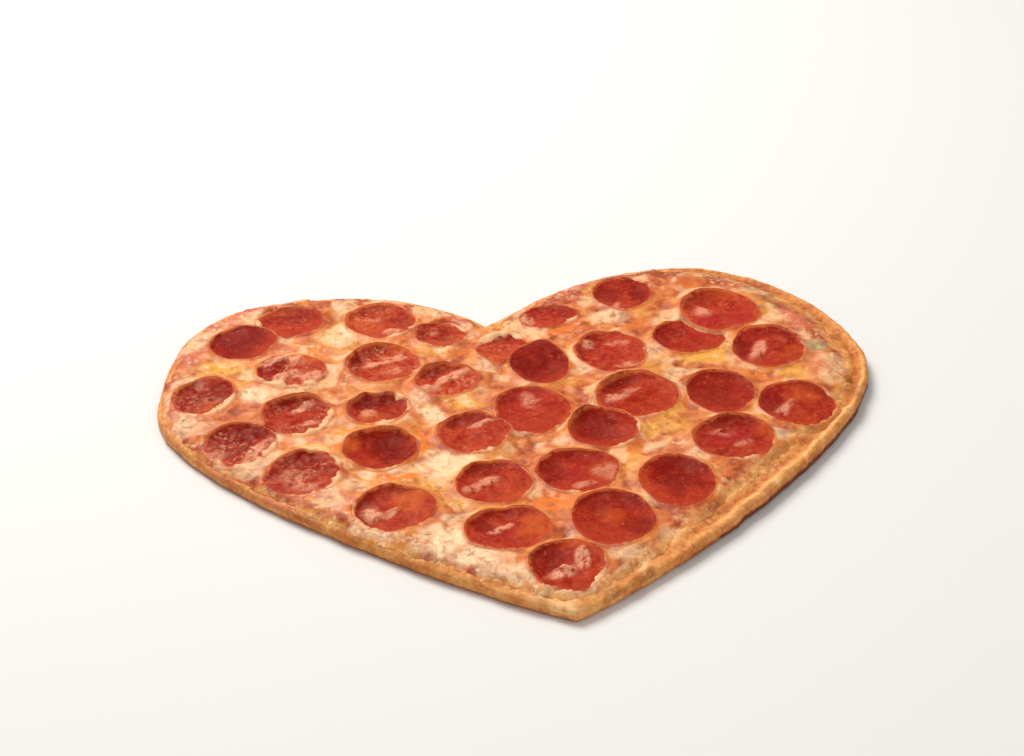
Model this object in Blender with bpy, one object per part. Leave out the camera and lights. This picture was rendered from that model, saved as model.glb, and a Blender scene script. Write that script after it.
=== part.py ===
"""A heart-shaped thin-crust pizza with a melted cheese layer and thirty-five cupped pepperoni slices.

The frame is +Z up with the origin on the table, under the middle of the crust. The tip of the heart
points along -Y and the notch between its lobes along +Y. Lengths are in metres.
"""
import math
from typing import NamedTuple

import bmesh
import bpy
from mathutils import Vector, noise

MM = 0.001
GAP = 0.3 * MM

CRUST_HEIGHT = 6.0 * MM
EDGE_SHOULDER = 1.3 * MM
EDGE_BELLY_HEIGHT = 1.8 * MM
EDGE_UNDERCUT = 1.6 * MM
EDGE_RAGGED = 0.6 * MM
RIM_RISE = 1.4 * MM

CHEESE_HEIGHT = 1.2 * MM
CHEESE_LUMPS = 0.15 * MM
CHEESE_LIP = 0.7 * MM

SLICE_BED = 8.0 * MM
SLICE_THICKNESS = 1.5 * MM
SLICE_RAGGED = 0.018
STACK_RISE = 2.1 * MM

# Shares of a slice's reach: where a tilt on a neighbour starts and ends, and where a neighbour's
# weight stops pressing a curled edge flat
TILT_START = -0.5
TILT_END = 0.75
PRESSED_TO = 1.7

# Share of the curl that is the same all round, the rest being strongest towards the slice's lean
EVEN_CURL = 0.65
RIDGE_WIDTH = 0.3
RIDGE_ENDS = 0.55

# Distance over which the crust's edge wavers, and over which the cheese does
EDGE_WAVE = 14.0 * MM
CHEESE_WAVE = 17.0 * MM

# Counts of points round the heart and round a slice, and of steps along each curve of the outline
RAYS = 112
SLICE_RAYS = 18
DENSE_STEPS = 160


class Knot(NamedTuple):
    """A place on the heart's outline, in millimetres, with the heading there in degrees."""

    x: float
    y: float
    heading: float
    before: float
    after: float


class Slice(NamedTuple):
    """One pepperoni slice: place and size in millimetres, directions in degrees.

    cup is how far its edge curls up, most of all towards lean. fold is the height of the ridge that
    runs across it along turn.
    """

    x: float
    y: float
    wide: float
    deep: float
    cup: float
    lean: float
    fold: float
    turn: float


TIP_TO_NOTCH = (
    Knot(-1.5, -126.0, 25.0, 0.0, 45.0),
    Knot(151.5, 31.0, 89.0, 52.0, 45.0),
    Knot(78.0, 121.0, 180.0, 40.0, 32.0),
    Knot(-6.0, 84.0, 217.0, 42.0, 0.0),
)
NOTCH_TO_TIP = (
    Knot(-6.0, 84.0, 126.0, 0.0, 20.0),
    Knot(-88.0, 120.0, 182.0, 48.0, 44.0),
    Knot(-151.0, 40.0, 263.0, 50.0, 49.0),
    Knot(-1.5, -126.0, -27.0, 32.0, 0.0),
)
HEART_MIDDLE = Vector((0.0, 8.0)) * MM

# Share of the way round from the tip, and the value there: how strongly the edge rolls up into a rim
RIM_STRENGTH = ((0.0, 0.0), (0.05, 0.1), (0.08, 0.6), (0.11, 1.0), (0.23, 1.0), (0.28, 0.6),
                (0.37, 0.3), (0.41, 0.0), (1.0, 0.0))

# Share of the way round from the tip, and the width of bare crust outside the cheese in millimetres
BARE_CRUST = ((0.0, 9.0), (0.03, 9.0), (0.07, 14.0), (0.12, 17.0), (0.17, 16.0), (0.21, 11.5), (0.27, 13.0),
              (0.33, 11.0), (0.37, 8.0), (0.40, 4.0), (0.75, 3.6), (0.80, 4.0), (0.93, 6.0), (1.0, 9.0))

# Share of the bare crust's width, and the height there above the crust: roll, groove and inner band
RIM_PROFILE = ((0.06, 0.55), (0.16, 1.0), (0.28, 0.7), (0.42, 0.0), (0.70, 0.3), (0.96, 0.0))

# Share of the way from the heart's middle out to the cheese's edge, for the rings of the flat crust
# under the cheese and for those of the cheese
FLAT_RINGS = (1.0, 0.62, 0.0)
CHEESE_RINGS = (0.97, 0.90, 0.78, 0.64, 0.50, 0.36, 0.20, 0.0)

# Share of a slice's reach, for its rings from the edge to the middle
SLICE_RINGS = (1.0, 0.82, 0.5, 0.0)

SLICES = (
    Slice(-1, -99, 30, 29, 2.0, 140, 1.5, 60),
    Slice(-20, -73, 35, 27, 2.0, 100, 1.6, 15),
    Slice(21, -72, 33, 36, 1.6, 80, 0.4, 90),
    Slice(-21, -41, 31, 30, 1.8, 120, 1.0, 25),
    Slice(13, -38, 34, 30, 1.6, 100, 0.6, 30),
    Slice(51, -51, 31, 36, 1.6, 60, 0.5, 100),
    Slice(-62, -51, 33, 28, 1.8, 100, 1.4, 20),
    Slice(-63, -10, 31, 29, 3.2, 90, 0.0, 0),
    Slice(-24, -5, 31, 28, 2.2, 90, 1.2, 10),
    Slice(29, -10, 30, 29, 2.4, 100, 0.6, 30),
    Slice(47, 12, 35, 33, 2.8, 120, 1.4, 20),
    Slice(80, -25, 34, 31, 2.0, 100, 1.2, 15),
    Slice(82, 10, 29, 33, 1.4, 80, 0.0, 0),
    Slice(112, -3, 33, 32, 1.5, 60, 0.6, 40),
    Slice(2, 9, 32, 35, 1.6, 120, 1.0, 35),
    Slice(11, 45, 26, 32, 1.0, 90, 0.0, 0),
    Slice(43, 49, 31, 33, 1.6, 150, 0.8, 10),
    Slice(78, 56, 32, 28, 1.2, 150, 0.5, 60),
    Slice(96, 74, 35, 35, 2.0, 120, 0.8, 40),
    Slice(110, 41, 31, 33, 2.0, 60, 1.4, 50),
    Slice(57, 98, 27, 31, 2.4, 60, 0.5, 70),
    Slice(21, 84, 26, 21, 1.6, 80, 0.6, 30),
    Slice(-27, 77, 24, 23, 1.6, 150, 1.0, 60),
    Slice(-2, 60, 24, 27, 2.4, 90, 1.6, 5),
    Slice(-52, 92, 31, 31, 2.2, 110, 1.2, 15),
    Slice(-91, 99, 30, 29, 2.0, 90, 0.8, 80),
    Slice(-113, 83, 30, 27, 1.4, 150, 0.2, 0),
    Slice(-94, 56, 31, 25, 1.8, 160, 1.6, 30),
    Slice(-55, 54, 32, 28, 3.0, 120, 2.0, 10),
    Slice(-30, 37, 28, 23, 2.6, 100, 1.4, 25),
    Slice(-132, 43, 27, 28, 2.2, 120, 1.2, 5),
    Slice(-94, 20, 29, 28, 2.8, 90, 1.6, 15),
    Slice(-61, 20, 27, 22, 2.8, 90, 1.4, 70),
    Slice(-121, 4, 31, 28, 1.6, 120, 1.0, 10),
    Slice(-97, -23, 32, 28, 1.8, 100, 1.2, 20),
)

# Number of the slice that lies on top, and of the slice that it lies on
STACKED = ((10, 11), (9, 15), (16, 24), (19, 18), (27, 26))

CRUST_COLOUR = (0.62, 0.33, 0.11, 1.0)
CHEESE_COLOUR = (0.80, 0.50, 0.19, 1.0)
PEPPERONI_COLOUR = (0.36, 0.035, 0.018)


def ease(low, high, value):
    """Return 0 below low and 1 above high, with a smooth step between them."""
    share = min(max((value - low) / (high - low), 0.0), 1.0)
    return share * share * (3.0 - 2.0 * share)


def along_stops(stops, where):
    """Return the value at a place between the stops, each a pair of place and value."""
    for (start, first), (end, second) in zip(stops, stops[1:]):
        if where <= end:
            return first + (second - first) * ease(start, end, where)
    return stops[-1][1]


def curve_point(start, end, share):
    """Return the point of the cubic curve between two knots, in metres."""
    leave = math.radians(start.heading)
    arrive = math.radians(end.heading)
    first = Vector((start.x, start.y))
    last = Vector((end.x, end.y))
    second = first + start.after * Vector((math.cos(leave), math.sin(leave)))
    third = last - end.before * Vector((math.cos(arrive), math.sin(arrive)))
    rest = 1.0 - share
    point = rest ** 3 * first + 3.0 * rest ** 2 * share * second
    point += 3.0 * rest * share ** 2 * third + share ** 3 * last
    return point * MM


def even_points(knots, count):
    """Return count points evenly spaced along the knots' curve, the last end left out."""
    dense = [curve_point(start, end, step / DENSE_STEPS)
             for start, end in zip(knots, knots[1:]) for step in range(DENSE_STEPS)]
    dense.append(curve_point(knots[-2], knots[-1], 1.0))
    reach = [0.0]
    for before, after in zip(dense, dense[1:]):
        reach.append(reach[-1] + (after - before).length)
    points = []
    place = 0
    for index in range(count):
        wanted = reach[-1] * index / count
        while reach[place + 1] < wanted:
            place += 1
        share = (wanted - reach[place]) / (reach[place + 1] - reach[place])
        points.append(dense[place].lerp(dense[place + 1], share))
    return points


def heart_outline():
    """Return the crust's outline, counter-clockwise from the tip, centred on its box."""
    smooth = even_points(TIP_TO_NOTCH, RAYS // 2) + even_points(NOTCH_TO_TIP, RAYS // 2)
    ragged = []
    for index, point in enumerate(smooth):
        outward = outward_normal(smooth, index)
        ragged.append(point + outward * EDGE_RAGGED * noise.noise(point.to_3d() / EDGE_WAVE))
    middle_x = (max(p.x for p in ragged) + min(p.x for p in ragged)) / 2.0
    middle_y = (max(p.y for p in ragged) + min(p.y for p in ragged)) / 2.0
    return [point - Vector((middle_x, middle_y)) for point in ragged]


def outward_normal(points, index):
    """Return the unit direction out of the outline at one of its points."""
    along = points[(index + 1) % len(points)] - points[index - 1]
    return Vector((along.y, -along.x)).normalized()


def inward(outline, ray, depth):
    """Return the point at a depth inside the outline on the way from one of its points to the middle."""
    point = outline[ray]
    to_middle = HEART_MIDDLE - point
    squareness = max(-to_middle.normalized().dot(outward_normal(outline, ray)), 0.6)
    return point + to_middle.normalized() * min(depth / squareness, to_middle.length)


def disc_sheet(rays, rings):
    """Return an open disc of quads round a middle point, with ray and ring numbers on its points."""
    form = bmesh.new()
    ray_layer = form.verts.layers.int.new("ray")
    ring_layer = form.verts.layers.int.new("ring")
    rim = bmesh.ops.create_circle(form, segments=rays, radius=1.0)["verts"]
    for index, vert in enumerate(rim):
        vert[ray_layer] = index
    edges = form.edges[:]
    for ring in range(1, rings + 1):
        grown = bmesh.ops.extrude_edge_only(form, edges=edges)["geom"]
        inner = [item for item in grown if isinstance(item, bmesh.types.BMVert)]
        for vert in inner:
            vert[ring_layer] = ring
            vert.co *= (rings - ring) / (rings - ring + 1.0)
        edges = [item for item in grown if isinstance(item, bmesh.types.BMEdge)
                 and all(vert[ring_layer] == ring for vert in item.verts)]
    bmesh.ops.remove_doubles(form, verts=form.verts[:], dist=1e-6)
    return form


def finish_object(form, name, material):
    """Turn the form into a named object with its faces pointing out and its material assigned."""
    bmesh.ops.recalc_face_normals(form, faces=form.faces[:])
    bmesh.ops.triangulate(form, faces=form.faces[:])
    mesh = bpy.data.meshes.new(name)
    form.to_mesh(mesh)
    form.free()
    mesh.shade_smooth()
    mesh.materials.append(material)
    item = bpy.data.objects.new(name, mesh)
    bpy.context.scene.collection.objects.link(item)
    return item


def surface(name, colour, roughness):
    """Return a Principled material with one colour and roughness."""
    material = bpy.data.materials.new(name)
    material.use_nodes = True
    shader = material.node_tree.nodes["Principled BSDF"]
    shader.inputs["Base Color"].default_value = colour
    shader.inputs["Roughness"].default_value = roughness
    shader.inputs["Metallic"].default_value = 0.0
    return material


def wall_and_floor(form, rim, levels):
    """Extrude the rim loop down through the levels, each a function of the ray, and fill the floor."""
    ray_layer = form.verts.layers.int["ray"]
    edges = rim
    for level in levels:
        grown = bmesh.ops.extrude_edge_only(form, edges=edges)["geom"]
        lower = [item for item in grown if isinstance(item, bmesh.types.BMVert)]
        for vert in lower:
            vert.co = level(vert[ray_layer])
        edges = [item for item in grown if isinstance(item, bmesh.types.BMEdge)
                 and all(vert in lower for vert in item.verts)]
    bmesh.ops.holes_fill(form, edges=edges, sides=0)


def raised(point, height):
    """Return a place on the plan lifted to a height."""
    return Vector((point.x, point.y, height))


def bare_width(ray):
    """Return how wide the bare crust is at a point of the outline."""
    return along_stops(BARE_CRUST, ray / RAYS) * MM


def crust_point(outline, ray, ring):
    """Return the point of the crust's upper face on a ray and ring, ring 0 being its outer edge."""
    strength = along_stops(RIM_STRENGTH, ray / RAYS)
    if ring == 0:
        return raised(outline[ray], CRUST_HEIGHT - EDGE_SHOULDER * (1.0 - strength / 2.0))
    if ring <= len(RIM_PROFILE):
        share, rise = RIM_PROFILE[ring - 1]
        place = inward(outline, ray, share * bare_width(ray))
        return raised(place, CRUST_HEIGHT + RIM_RISE * strength * rise)
    share = FLAT_RINGS[ring - len(RIM_PROFILE) - 1]
    return raised(HEART_MIDDLE.lerp(inward(outline, ray, bare_width(ray)), share), CRUST_HEIGHT)


def make_crust(outline):
    """Model the baked base: flat underside, rounded cut edge, and the rolled rim along one side."""
    form = disc_sheet(RAYS, len(RIM_PROFILE) + len(FLAT_RINGS))
    rim = [edge for edge in form.edges if edge.is_boundary]
    ray_layer = form.verts.layers.int["ray"]
    ring_layer = form.verts.layers.int["ring"]
    for vert in form.verts:
        vert.co = crust_point(outline, vert[ray_layer], vert[ring_layer])

    def belly(ray):
        return raised(outline[ray], EDGE_BELLY_HEIGHT)

    def foot(ray):
        return raised(inward(outline, ray, EDGE_UNDERCUT), 0.0)

    wall_and_floor(form, rim, (belly, foot))
    return finish_object(form, "crust", surface("baked_crust", CRUST_COLOUR, 0.75))


def cheese_point(edge, ring):
    """Return the point of the cheese's upper face on the way from its edge to the middle."""
    if ring == 0:
        return raised(edge, CRUST_HEIGHT + GAP + CHEESE_LIP)
    if ring == 1:
        place = edge + (HEART_MIDDLE - edge).normalized() * CHEESE_LIP
    else:
        place = HEART_MIDDLE.lerp(edge, CHEESE_RINGS[ring - 2])
    lumps = CHEESE_LUMPS * noise.noise(place.to_3d() / CHEESE_WAVE)
    return raised(place, CRUST_HEIGHT + GAP + CHEESE_HEIGHT + lumps)


def make_cheese(outline):
    """Model the melted cheese: a thin lumpy layer that follows the heart inside the bare crust."""
    form = disc_sheet(RAYS, 1 + len(CHEESE_RINGS))
    rim = [edge for edge in form.edges if edge.is_boundary]
    ray_layer = form.verts.layers.int["ray"]
    ring_layer = form.verts.layers.int["ring"]
    edges = [inward(outline, ray, bare_width(ray) + GAP) for ray in range(RAYS)]
    for vert in form.verts:
        vert.co = cheese_point(edges[vert[ray_layer]], vert[ring_layer])

    def foot(ray):
        return raised(edges[ray], CRUST_HEIGHT + GAP)

    wall_and_floor(form, rim, (foot,))
    return finish_object(form, "cheese", surface("melted_cheese", CHEESE_COLOUR, 0.4))


def slice_reach(item, angle):
    """Return how far a slice reaches from its middle in a direction, in metres."""
    across = item.wide / 2.0 * MM
    along = item.deep / 2.0 * MM
    oval = across * along / math.hypot(along * math.cos(angle), across * math.sin(angle))
    wobble = math.sin(3.0 * angle + item.x) + 0.7 * math.sin(5.0 * angle + item.y)
    return oval * (1.0 + SLICE_RAGGED * wobble)


def nearness(item, x, y):
    """Return how far out a point lies on a slice: 0 at its middle and 1 at its edge."""
    away = Vector((x - item.x * MM, y - item.y * MM))
    return away.length / slice_reach(item, math.atan2(away.y, away.x))


def slice_height(number, x, y):
    """Return the height of a slice's underside at a point."""
    item = SLICES[number - 1]
    away = Vector((x - item.x * MM, y - item.y * MM))
    out = nearness(item, x, y)
    angle = math.atan2(away.y, away.x)
    lean = math.cos(angle - math.radians(item.lean))
    curl = item.cup * MM * out ** 3 * (EVEN_CURL + (1.0 - EVEN_CURL) * lean)
    across = out * math.sin(angle - math.radians(item.turn))
    ridge = item.fold * MM * math.exp(-(across / RIDGE_WIDTH) ** 2) * ease(1.0, RIDGE_ENDS, out)
    height = SLICE_BED
    for upper, lower in STACKED:
        if lower == number:
            curl *= ease(1.0, PRESSED_TO, nearness(SLICES[upper - 1], x, y))
        if upper == number:
            below = SLICES[lower - 1]
            heading = Vector((below.x - item.x, below.y - item.y)).normalized()
            toward = away.dot(heading) / (item.wide / 2.0 * MM)
            height += STACK_RISE * ease(TILT_START, TILT_END, toward)
    return height + curl + ridge


def make_slice(number):
    """Model one cupped pepperoni slice lying on the cheese or on its neighbour."""
    item = SLICES[number - 1]
    form = disc_sheet(SLICE_RAYS, len(SLICE_RINGS) - 1)
    ray_layer = form.verts.layers.int["ray"]
    ring_layer = form.verts.layers.int["ring"]
    for vert in form.verts:
        angle = math.tau * vert[ray_layer] / SLICE_RAYS
        reach = slice_reach(item, angle) * SLICE_RINGS[vert[ring_layer]]
        vert.co.x = item.x * MM + reach * math.cos(angle)
        vert.co.y = item.y * MM + reach * math.sin(angle)
        vert.co.z = slice_height(number, vert.co.x, vert.co.y)
    raised = bmesh.ops.extrude_face_region(form, geom=form.faces[:], use_keep_orig=True)["geom"]
    upper_face = [vert for vert in raised if isinstance(vert, bmesh.types.BMVert)]
    bmesh.ops.translate(form, vec=(0.0, 0.0, SLICE_THICKNESS), verts=upper_face)
    warmth = 1.0 + 0.25 * math.sin(2.4 * number)
    red, green, blue = PEPPERONI_COLOUR
    colour = (red * warmth, green * warmth, blue * warmth, 1.0)
    name = f"pepperoni_{number:02d}"
    return finish_object(form, name, surface(name, colour, 0.35))


def main():
    """Clear the scene and model the crust, the cheese and the slices."""
    for item in list(bpy.data.objects):
        bpy.data.objects.remove(item, do_unlink=True)
    outline = heart_outline()
    make_crust(outline)
    make_cheese(outline)
    for number in range(1, len(SLICES) + 1):
        make_slice(number)


main()
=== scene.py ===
"""Looks of a heart-shaped pepperoni pizza: baked crust, melted cheese, cupped slices and a soft studio.

Sizes in this file are in millimetres on the frame's axes, and become metres when a mesh is written.
"""
import logging
import math
from dataclasses import dataclass, field
from enum import Enum
from functools import lru_cache

import bmesh
import bpy
import numpy as np
from mathutils import Matrix, Vector, noise


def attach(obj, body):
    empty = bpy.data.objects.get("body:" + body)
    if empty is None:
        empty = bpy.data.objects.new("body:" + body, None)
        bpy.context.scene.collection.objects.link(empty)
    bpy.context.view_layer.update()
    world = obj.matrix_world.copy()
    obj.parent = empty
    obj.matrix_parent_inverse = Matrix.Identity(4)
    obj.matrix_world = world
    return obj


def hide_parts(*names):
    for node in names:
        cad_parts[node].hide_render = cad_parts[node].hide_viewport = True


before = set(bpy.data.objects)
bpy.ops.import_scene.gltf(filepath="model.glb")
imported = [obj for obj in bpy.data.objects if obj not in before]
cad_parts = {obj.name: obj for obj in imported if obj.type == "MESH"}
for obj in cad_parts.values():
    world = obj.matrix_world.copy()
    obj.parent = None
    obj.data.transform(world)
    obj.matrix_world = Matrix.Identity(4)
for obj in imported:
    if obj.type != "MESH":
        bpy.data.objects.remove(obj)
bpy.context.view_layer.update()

LOG = logging.getLogger("pizza")
MM = 0.001
BODY = "root"

Array = np.ndarray
Colour = tuple[float, float, float]
Socket = bpy.types.NodeSocket
Stops = tuple[tuple[float, float], ...]


class Slot(Enum):
    """The record's material slots."""

    CRUST = "crust"
    CHEESE = "cheese"
    PEPPERONI = "pepperoni"


class Tint(Enum):
    """Numbers painted on the meshes: stains, baked crumbs, how bare the crust is, and painted shade, painted
    light and painted highlights on the slices.
    """

    ORANGE = "orange"
    YELLOW = "yellow"
    CREAM = "cream"
    BLUSH = "blush"
    BROWN = "brown"
    ASH = "ash"
    CRUMB = "crumb"
    BARE = "bare"
    PALE = "pale"
    PAINTED_SHADE = "painted_shade"
    AMBER = "amber"
    ROSE = "rose"
    PAINTED_LIGHT_AND_GRIT = "painted_light_and_grit"


# Kinds of stain, each with its shade and its greatest strength
Stains = tuple[tuple[Tint, Colour, float], ...]


def ease(low: float, high: float, value: Array) -> Array:
    """Step smoothly from 0 to 1.

    Args:
        low: Where the step starts.
        high: Where the step ends, which may be below low.
        value: The places to read it at.

    Returns:
        The step's value at each place.
    """
    share = np.clip((value - low) / (high - low), 0.0, 1.0)
    return share * share * (3.0 - 2.0 * share)


def along_stops(stops: Stops, where: Array) -> Array:
    """Read a smooth line through stops.

    Args:
        stops: Pairs of place and value, in order of place.
        where: The places to read it at.

    Returns:
        The line's value at each place.
    """
    result = np.full(np.shape(where), stops[0][1], float)
    for (start, first), (end, second) in zip(stops, stops[1:]):
        result = np.where(where > start, first + (second - first) * ease(start, end, where), result)
    return result


def mix(first: Array, second: Array, share: Array) -> Array:
    """Return first where share is 0 and second where it is 1."""
    return first + (second - first) * share


def dome(away: Array, width: float) -> Array:
    """Return the height of a round bump, 1 in its middle and 0 from a width on."""
    return np.clip(1.0 - (away / width) ** 2, 0.0, 1.0)


def bell(away: Array, width: float) -> Array:
    """Return a soft bell, 1 where away is 0 and spreading over a width."""
    return np.exp(-(away / width) ** 2)


def linear(red: int, green: int, blue: int) -> Colour:
    """Return the linear colour of a screen colour given in steps of 255."""
    parts = [channel / 255.0 for channel in (red, green, blue)]
    return tuple(p / 12.92 if p <= 0.04045 else ((p + 0.055) / 1.055) ** 2.4 for p in parts)


@dataclass(frozen=True)
class Grain:
    """Repeatable smooth noise over the plan, read from a hashed lattice.

    Attributes:
        seed: Number that tells one pattern from another.
    """

    seed: int

    def lattice(self, column: Array, row: Array, salt: int = 0) -> Array:
        """Return a fixed random number from 0 to 1 for each cell of the lattice.

        Args:
            column: The cells' columns.
            row: Their rows.
            salt: Number that tells one draw from another.

        Returns:
            One number for each cell.
        """
        mixed = column.astype(np.int64) * 374761393 + row.astype(np.int64) * 668265263
        mixed = mixed + (self.seed * 97 + salt) * 1442695041
        mixed = (mixed ^ (mixed >> 13)) * 1274126177
        mixed = (mixed ^ (mixed >> 15)) * 668265263
        return ((mixed ^ (mixed >> 16)) & 0xFFFFFF) / float(0xFFFFFF)

    def value(self, x: Array, y: Array, size: float) -> Array:
        """Return smooth noise from -1 to 1 with lumps of a size.

        Args:
            x: Places across.
            y: Places along.
            size: Size of the lumps.

        Returns:
            The noise at each place.
        """
        across, along = x / size, y / size
        column, row = np.floor(across), np.floor(along)
        share_x, share_y = ease(0.0, 1.0, across - column), ease(0.0, 1.0, along - row)
        near = mix(self.lattice(column, row), self.lattice(column + 1, row), share_x)
        far = mix(self.lattice(column, row + 1), self.lattice(column + 1, row + 1), share_x)
        return mix(near, far, share_y) * 2.0 - 1.0

    def fractal(self, x: Array, y: Array, size: float, octaves: int = 3, gain: float = 0.5) -> Array:
        """Sum noise of several sizes.

        Args:
            x: Places across.
            y: Places along.
            size: Size of the largest lumps.
            octaves: How many sizes are summed, each half the one before, on turned axes.
            gain: Weight of each size against the one before.

        Returns:
            Noise from about -1 to 1.
        """
        total, weight, reach = np.zeros(np.shape(x)), 1.0, 0.0
        turn_cos, turn_sin = math.cos(0.65), math.sin(0.65)
        for octave in range(octaves):
            total = total + weight * self.value(x + 31.7 * octave, y - 17.3 * octave, size)
            reach += weight
            weight *= gain
            size *= 0.5
            x, y = x * turn_cos - y * turn_sin, x * turn_sin + y * turn_cos
        return total / reach * 1.4

    def around(self, angle: Array, radius: float, size: float, octaves: int, start: float = 0.0) -> Array:
        """Return noise that closes on itself round a slice, read along a circle of a radius.

        Args:
            angle: Directions from the slice's middle.
            radius: Radius of the circle, which sets how often it turns.
            size: Size of the lumps.
            octaves: How many sizes are summed.
            start: Where the circle lies, to tell one pattern from another.

        Returns:
            The noise in each direction.
        """
        return self.fractal(start + radius * np.cos(angle), radius * np.sin(angle), size, octaves)

    def cells(self, x: Array, y: Array, size: float) -> tuple[Array, Array]:
        """Scatter one point in each cell and find the nearest.

        Args:
            x: Places across.
            y: Places along.
            size: Size of the cells.

        Returns:
            The distance to the nearest point as a share of the cell, and that point's own random number.
        """
        across, along = x / size, y / size
        column, row = np.floor(across), np.floor(along)
        best = np.full(np.shape(x), 9.0)
        own = np.zeros(np.shape(x))
        for step_x in (-1, 0, 1):
            for step_y in (-1, 0, 1):
                near_column, near_row = column + step_x, row + step_y
                point_x = near_column + self.lattice(near_column, near_row, 1)
                point_y = near_row + self.lattice(near_column, near_row, 2)
                away = np.hypot(point_x - across, point_y - along)
                closer = away < best
                best = np.where(closer, away, best)
                own = np.where(closer, self.lattice(near_column, near_row, 3), own)
        return best, own


@dataclass(frozen=True)
class Knot:
    """A place on the heart's outline and the heading there in degrees, with its two curve handles."""

    x: float
    y: float
    heading: float
    before: float
    after: float


@dataclass(frozen=True)
class Heart:
    """The pizza's outline on the plan, counter-clockwise from the tip.

    Attributes:
        right: Knots from the tip round the right lobe to the notch.
        left: Knots from the notch round the left lobe to the tip.
        middle: The place that the rays towards the outline start from.
        ragged: How far the edge wavers.
        wave: Length over which it wavers.
    """

    right: tuple[Knot, ...] = (
        Knot(-1.5, -126.0, 25.0, 0.0, 45.0),
        Knot(151.5, 31.0, 89.0, 52.0, 45.0),
        Knot(78.0, 121.0, 180.0, 40.0, 32.0),
        Knot(-6.0, 84.0, 217.0, 42.0, 0.0),
    )
    left: tuple[Knot, ...] = (
        Knot(-6.0, 84.0, 126.0, 0.0, 20.0),
        Knot(-88.0, 120.0, 182.0, 48.0, 44.0),
        Knot(-151.0, 40.0, 263.0, 50.0, 49.0),
        Knot(-1.5, -126.0, -27.0, 32.0, 0.0),
    )
    middle: tuple[float, float] = (0.0, 8.0)
    ragged: float = 0.6
    wave: float = 14.0

    @staticmethod
    def curve(knots: tuple[Knot, ...], steps: int = 200) -> Array:
        """Return points close together along the curve through some knots.

        Args:
            knots: The knots in order.
            steps: Points between each knot and the next.

        Returns:
            An array of rows of x and y.
        """
        share = np.linspace(0.0, 1.0, steps)[:, None]
        runs = []
        for start, end in zip(knots, knots[1:]):
            leave, arrive = math.radians(start.heading), math.radians(end.heading)
            first, last = np.array((start.x, start.y)), np.array((end.x, end.y))
            second = first + start.after * np.array((math.cos(leave), math.sin(leave)))
            third = last - end.before * np.array((math.cos(arrive), math.sin(arrive)))
            rest = 1.0 - share
            run = rest ** 3 * first + 3.0 * rest ** 2 * share * second
            run = run + 3.0 * rest * share ** 2 * third + share ** 3 * last
            runs.append(run if start is knots[0] else run[1:])
        return np.vstack(runs)

    def points(self, count: int) -> Array:
        """Return points evenly round the outline, centred on its box.

        Args:
            count: How many points, an even number.

        Returns:
            An array of count rows of x and y.
        """
        halves = []
        for knots in (self.right, self.left):
            dense = self.curve(knots)
            reach = np.append(0.0, np.cumsum(np.hypot(*np.diff(dense, axis=0).T)))
            wanted = reach[-1] * np.arange(count // 2) / (count // 2)
            halves.append(np.column_stack([np.interp(wanted, reach, dense[:, axis]) for axis in (0, 1)]))
        smooth = np.vstack(halves)
        waver = np.array([noise.noise(Vector((x, y, 0.0)) / self.wave) for x, y in smooth])
        ragged = smooth + self.outward(smooth) * (self.ragged * waver)[:, None]
        return ragged - (ragged.max(0) + ragged.min(0)) / 2.0

    @staticmethod
    def outward(points: Array) -> Array:
        """Return the unit direction out of the outline at each of its points.

        Args:
            points: The outline's points, counter-clockwise.

        Returns:
            An array of rows of x and y.
        """
        along = np.roll(points, -1, axis=0) - np.roll(points, 1, axis=0)
        normal = np.column_stack([along[:, 1], -along[:, 0]])
        return normal / np.hypot(normal[:, 0], normal[:, 1])[:, None]

    def inward(self, points: Array, depth: Array) -> Array:
        """Return the place at a depth inside each point of the outline, on the way to the middle.

        Args:
            points: The outline's points.
            depth: How far inside.

        Returns:
            An array of rows of x and y.
        """
        to_middle = np.array(self.middle) - points
        length = np.hypot(to_middle[:, 0], to_middle[:, 1])
        heading = to_middle / length[:, None]
        squareness = np.maximum(-(heading * self.outward(points)).sum(1), 0.6)
        return points + heading * np.minimum(depth / squareness, length)[:, None]

    def depth(self, x: Array, y: Array, count: int = 480) -> tuple[Array, Array]:
        """Measure places against the outline.

        Args:
            x: Places across.
            y: Places along.
            count: Points of the outline to measure from.

        Returns:
            How deep inside the outline each place lies, and the share of the way round of the nearest point.
        """
        outline = self.points(count)
        outward = self.outward(outline)
        deep, share = np.zeros(len(x)), np.zeros(len(x))
        for start in range(0, len(x), 8192):
            run = slice(start, start + 8192)
            gap_x, gap_y = x[run, None] - outline[:, 0], y[run, None] - outline[:, 1]
            nearest = np.argmin(gap_x ** 2 + gap_y ** 2, axis=1)
            row = np.arange(len(nearest))
            off_x, off_y = gap_x[row, nearest], gap_y[row, nearest]
            side = np.sign(off_x * outward[nearest, 0] + off_y * outward[nearest, 1])
            deep[run] = -side * np.hypot(off_x, off_y)
            share[run] = nearest / count
        return deep, share


# Share of the way round from the tip, and the value there: strength of the rolled rim
RIM_STRENGTH = ((0.0, 0.0), (0.05, 0.1), (0.08, 0.6), (0.11, 1.0), (0.23, 1.0), (0.28, 0.6), (0.37, 0.3),
                (0.41, 0.0), (1.0, 0.0))

# Share of the way round from the tip, and the width of the bare crust there
BARE_CRUST = ((0.0, 9.0), (0.03, 9.0), (0.07, 14.0), (0.12, 17.0), (0.17, 16.0), (0.21, 11.5), (0.27, 13.0),
              (0.33, 11.0), (0.37, 8.0), (0.40, 4.0), (0.75, 3.6), (0.80, 4.0), (0.93, 6.0), (1.0, 9.0))

# Share of the way round from the tip, and how far inside the crust's edge the thin cheese ends there
CHEESE_EDGE = ((0.0, 4.0), (0.03, 5.0), (0.07, 8.0), (0.12, 10.0), (0.17, 9.5), (0.21, 7.0), (0.27, 8.0),
               (0.33, 7.0), (0.37, 5.0), (0.40, 2.4), (0.75, 1.5), (0.90, 1.5), (0.95, 2.4), (1.0, 4.0))

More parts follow.
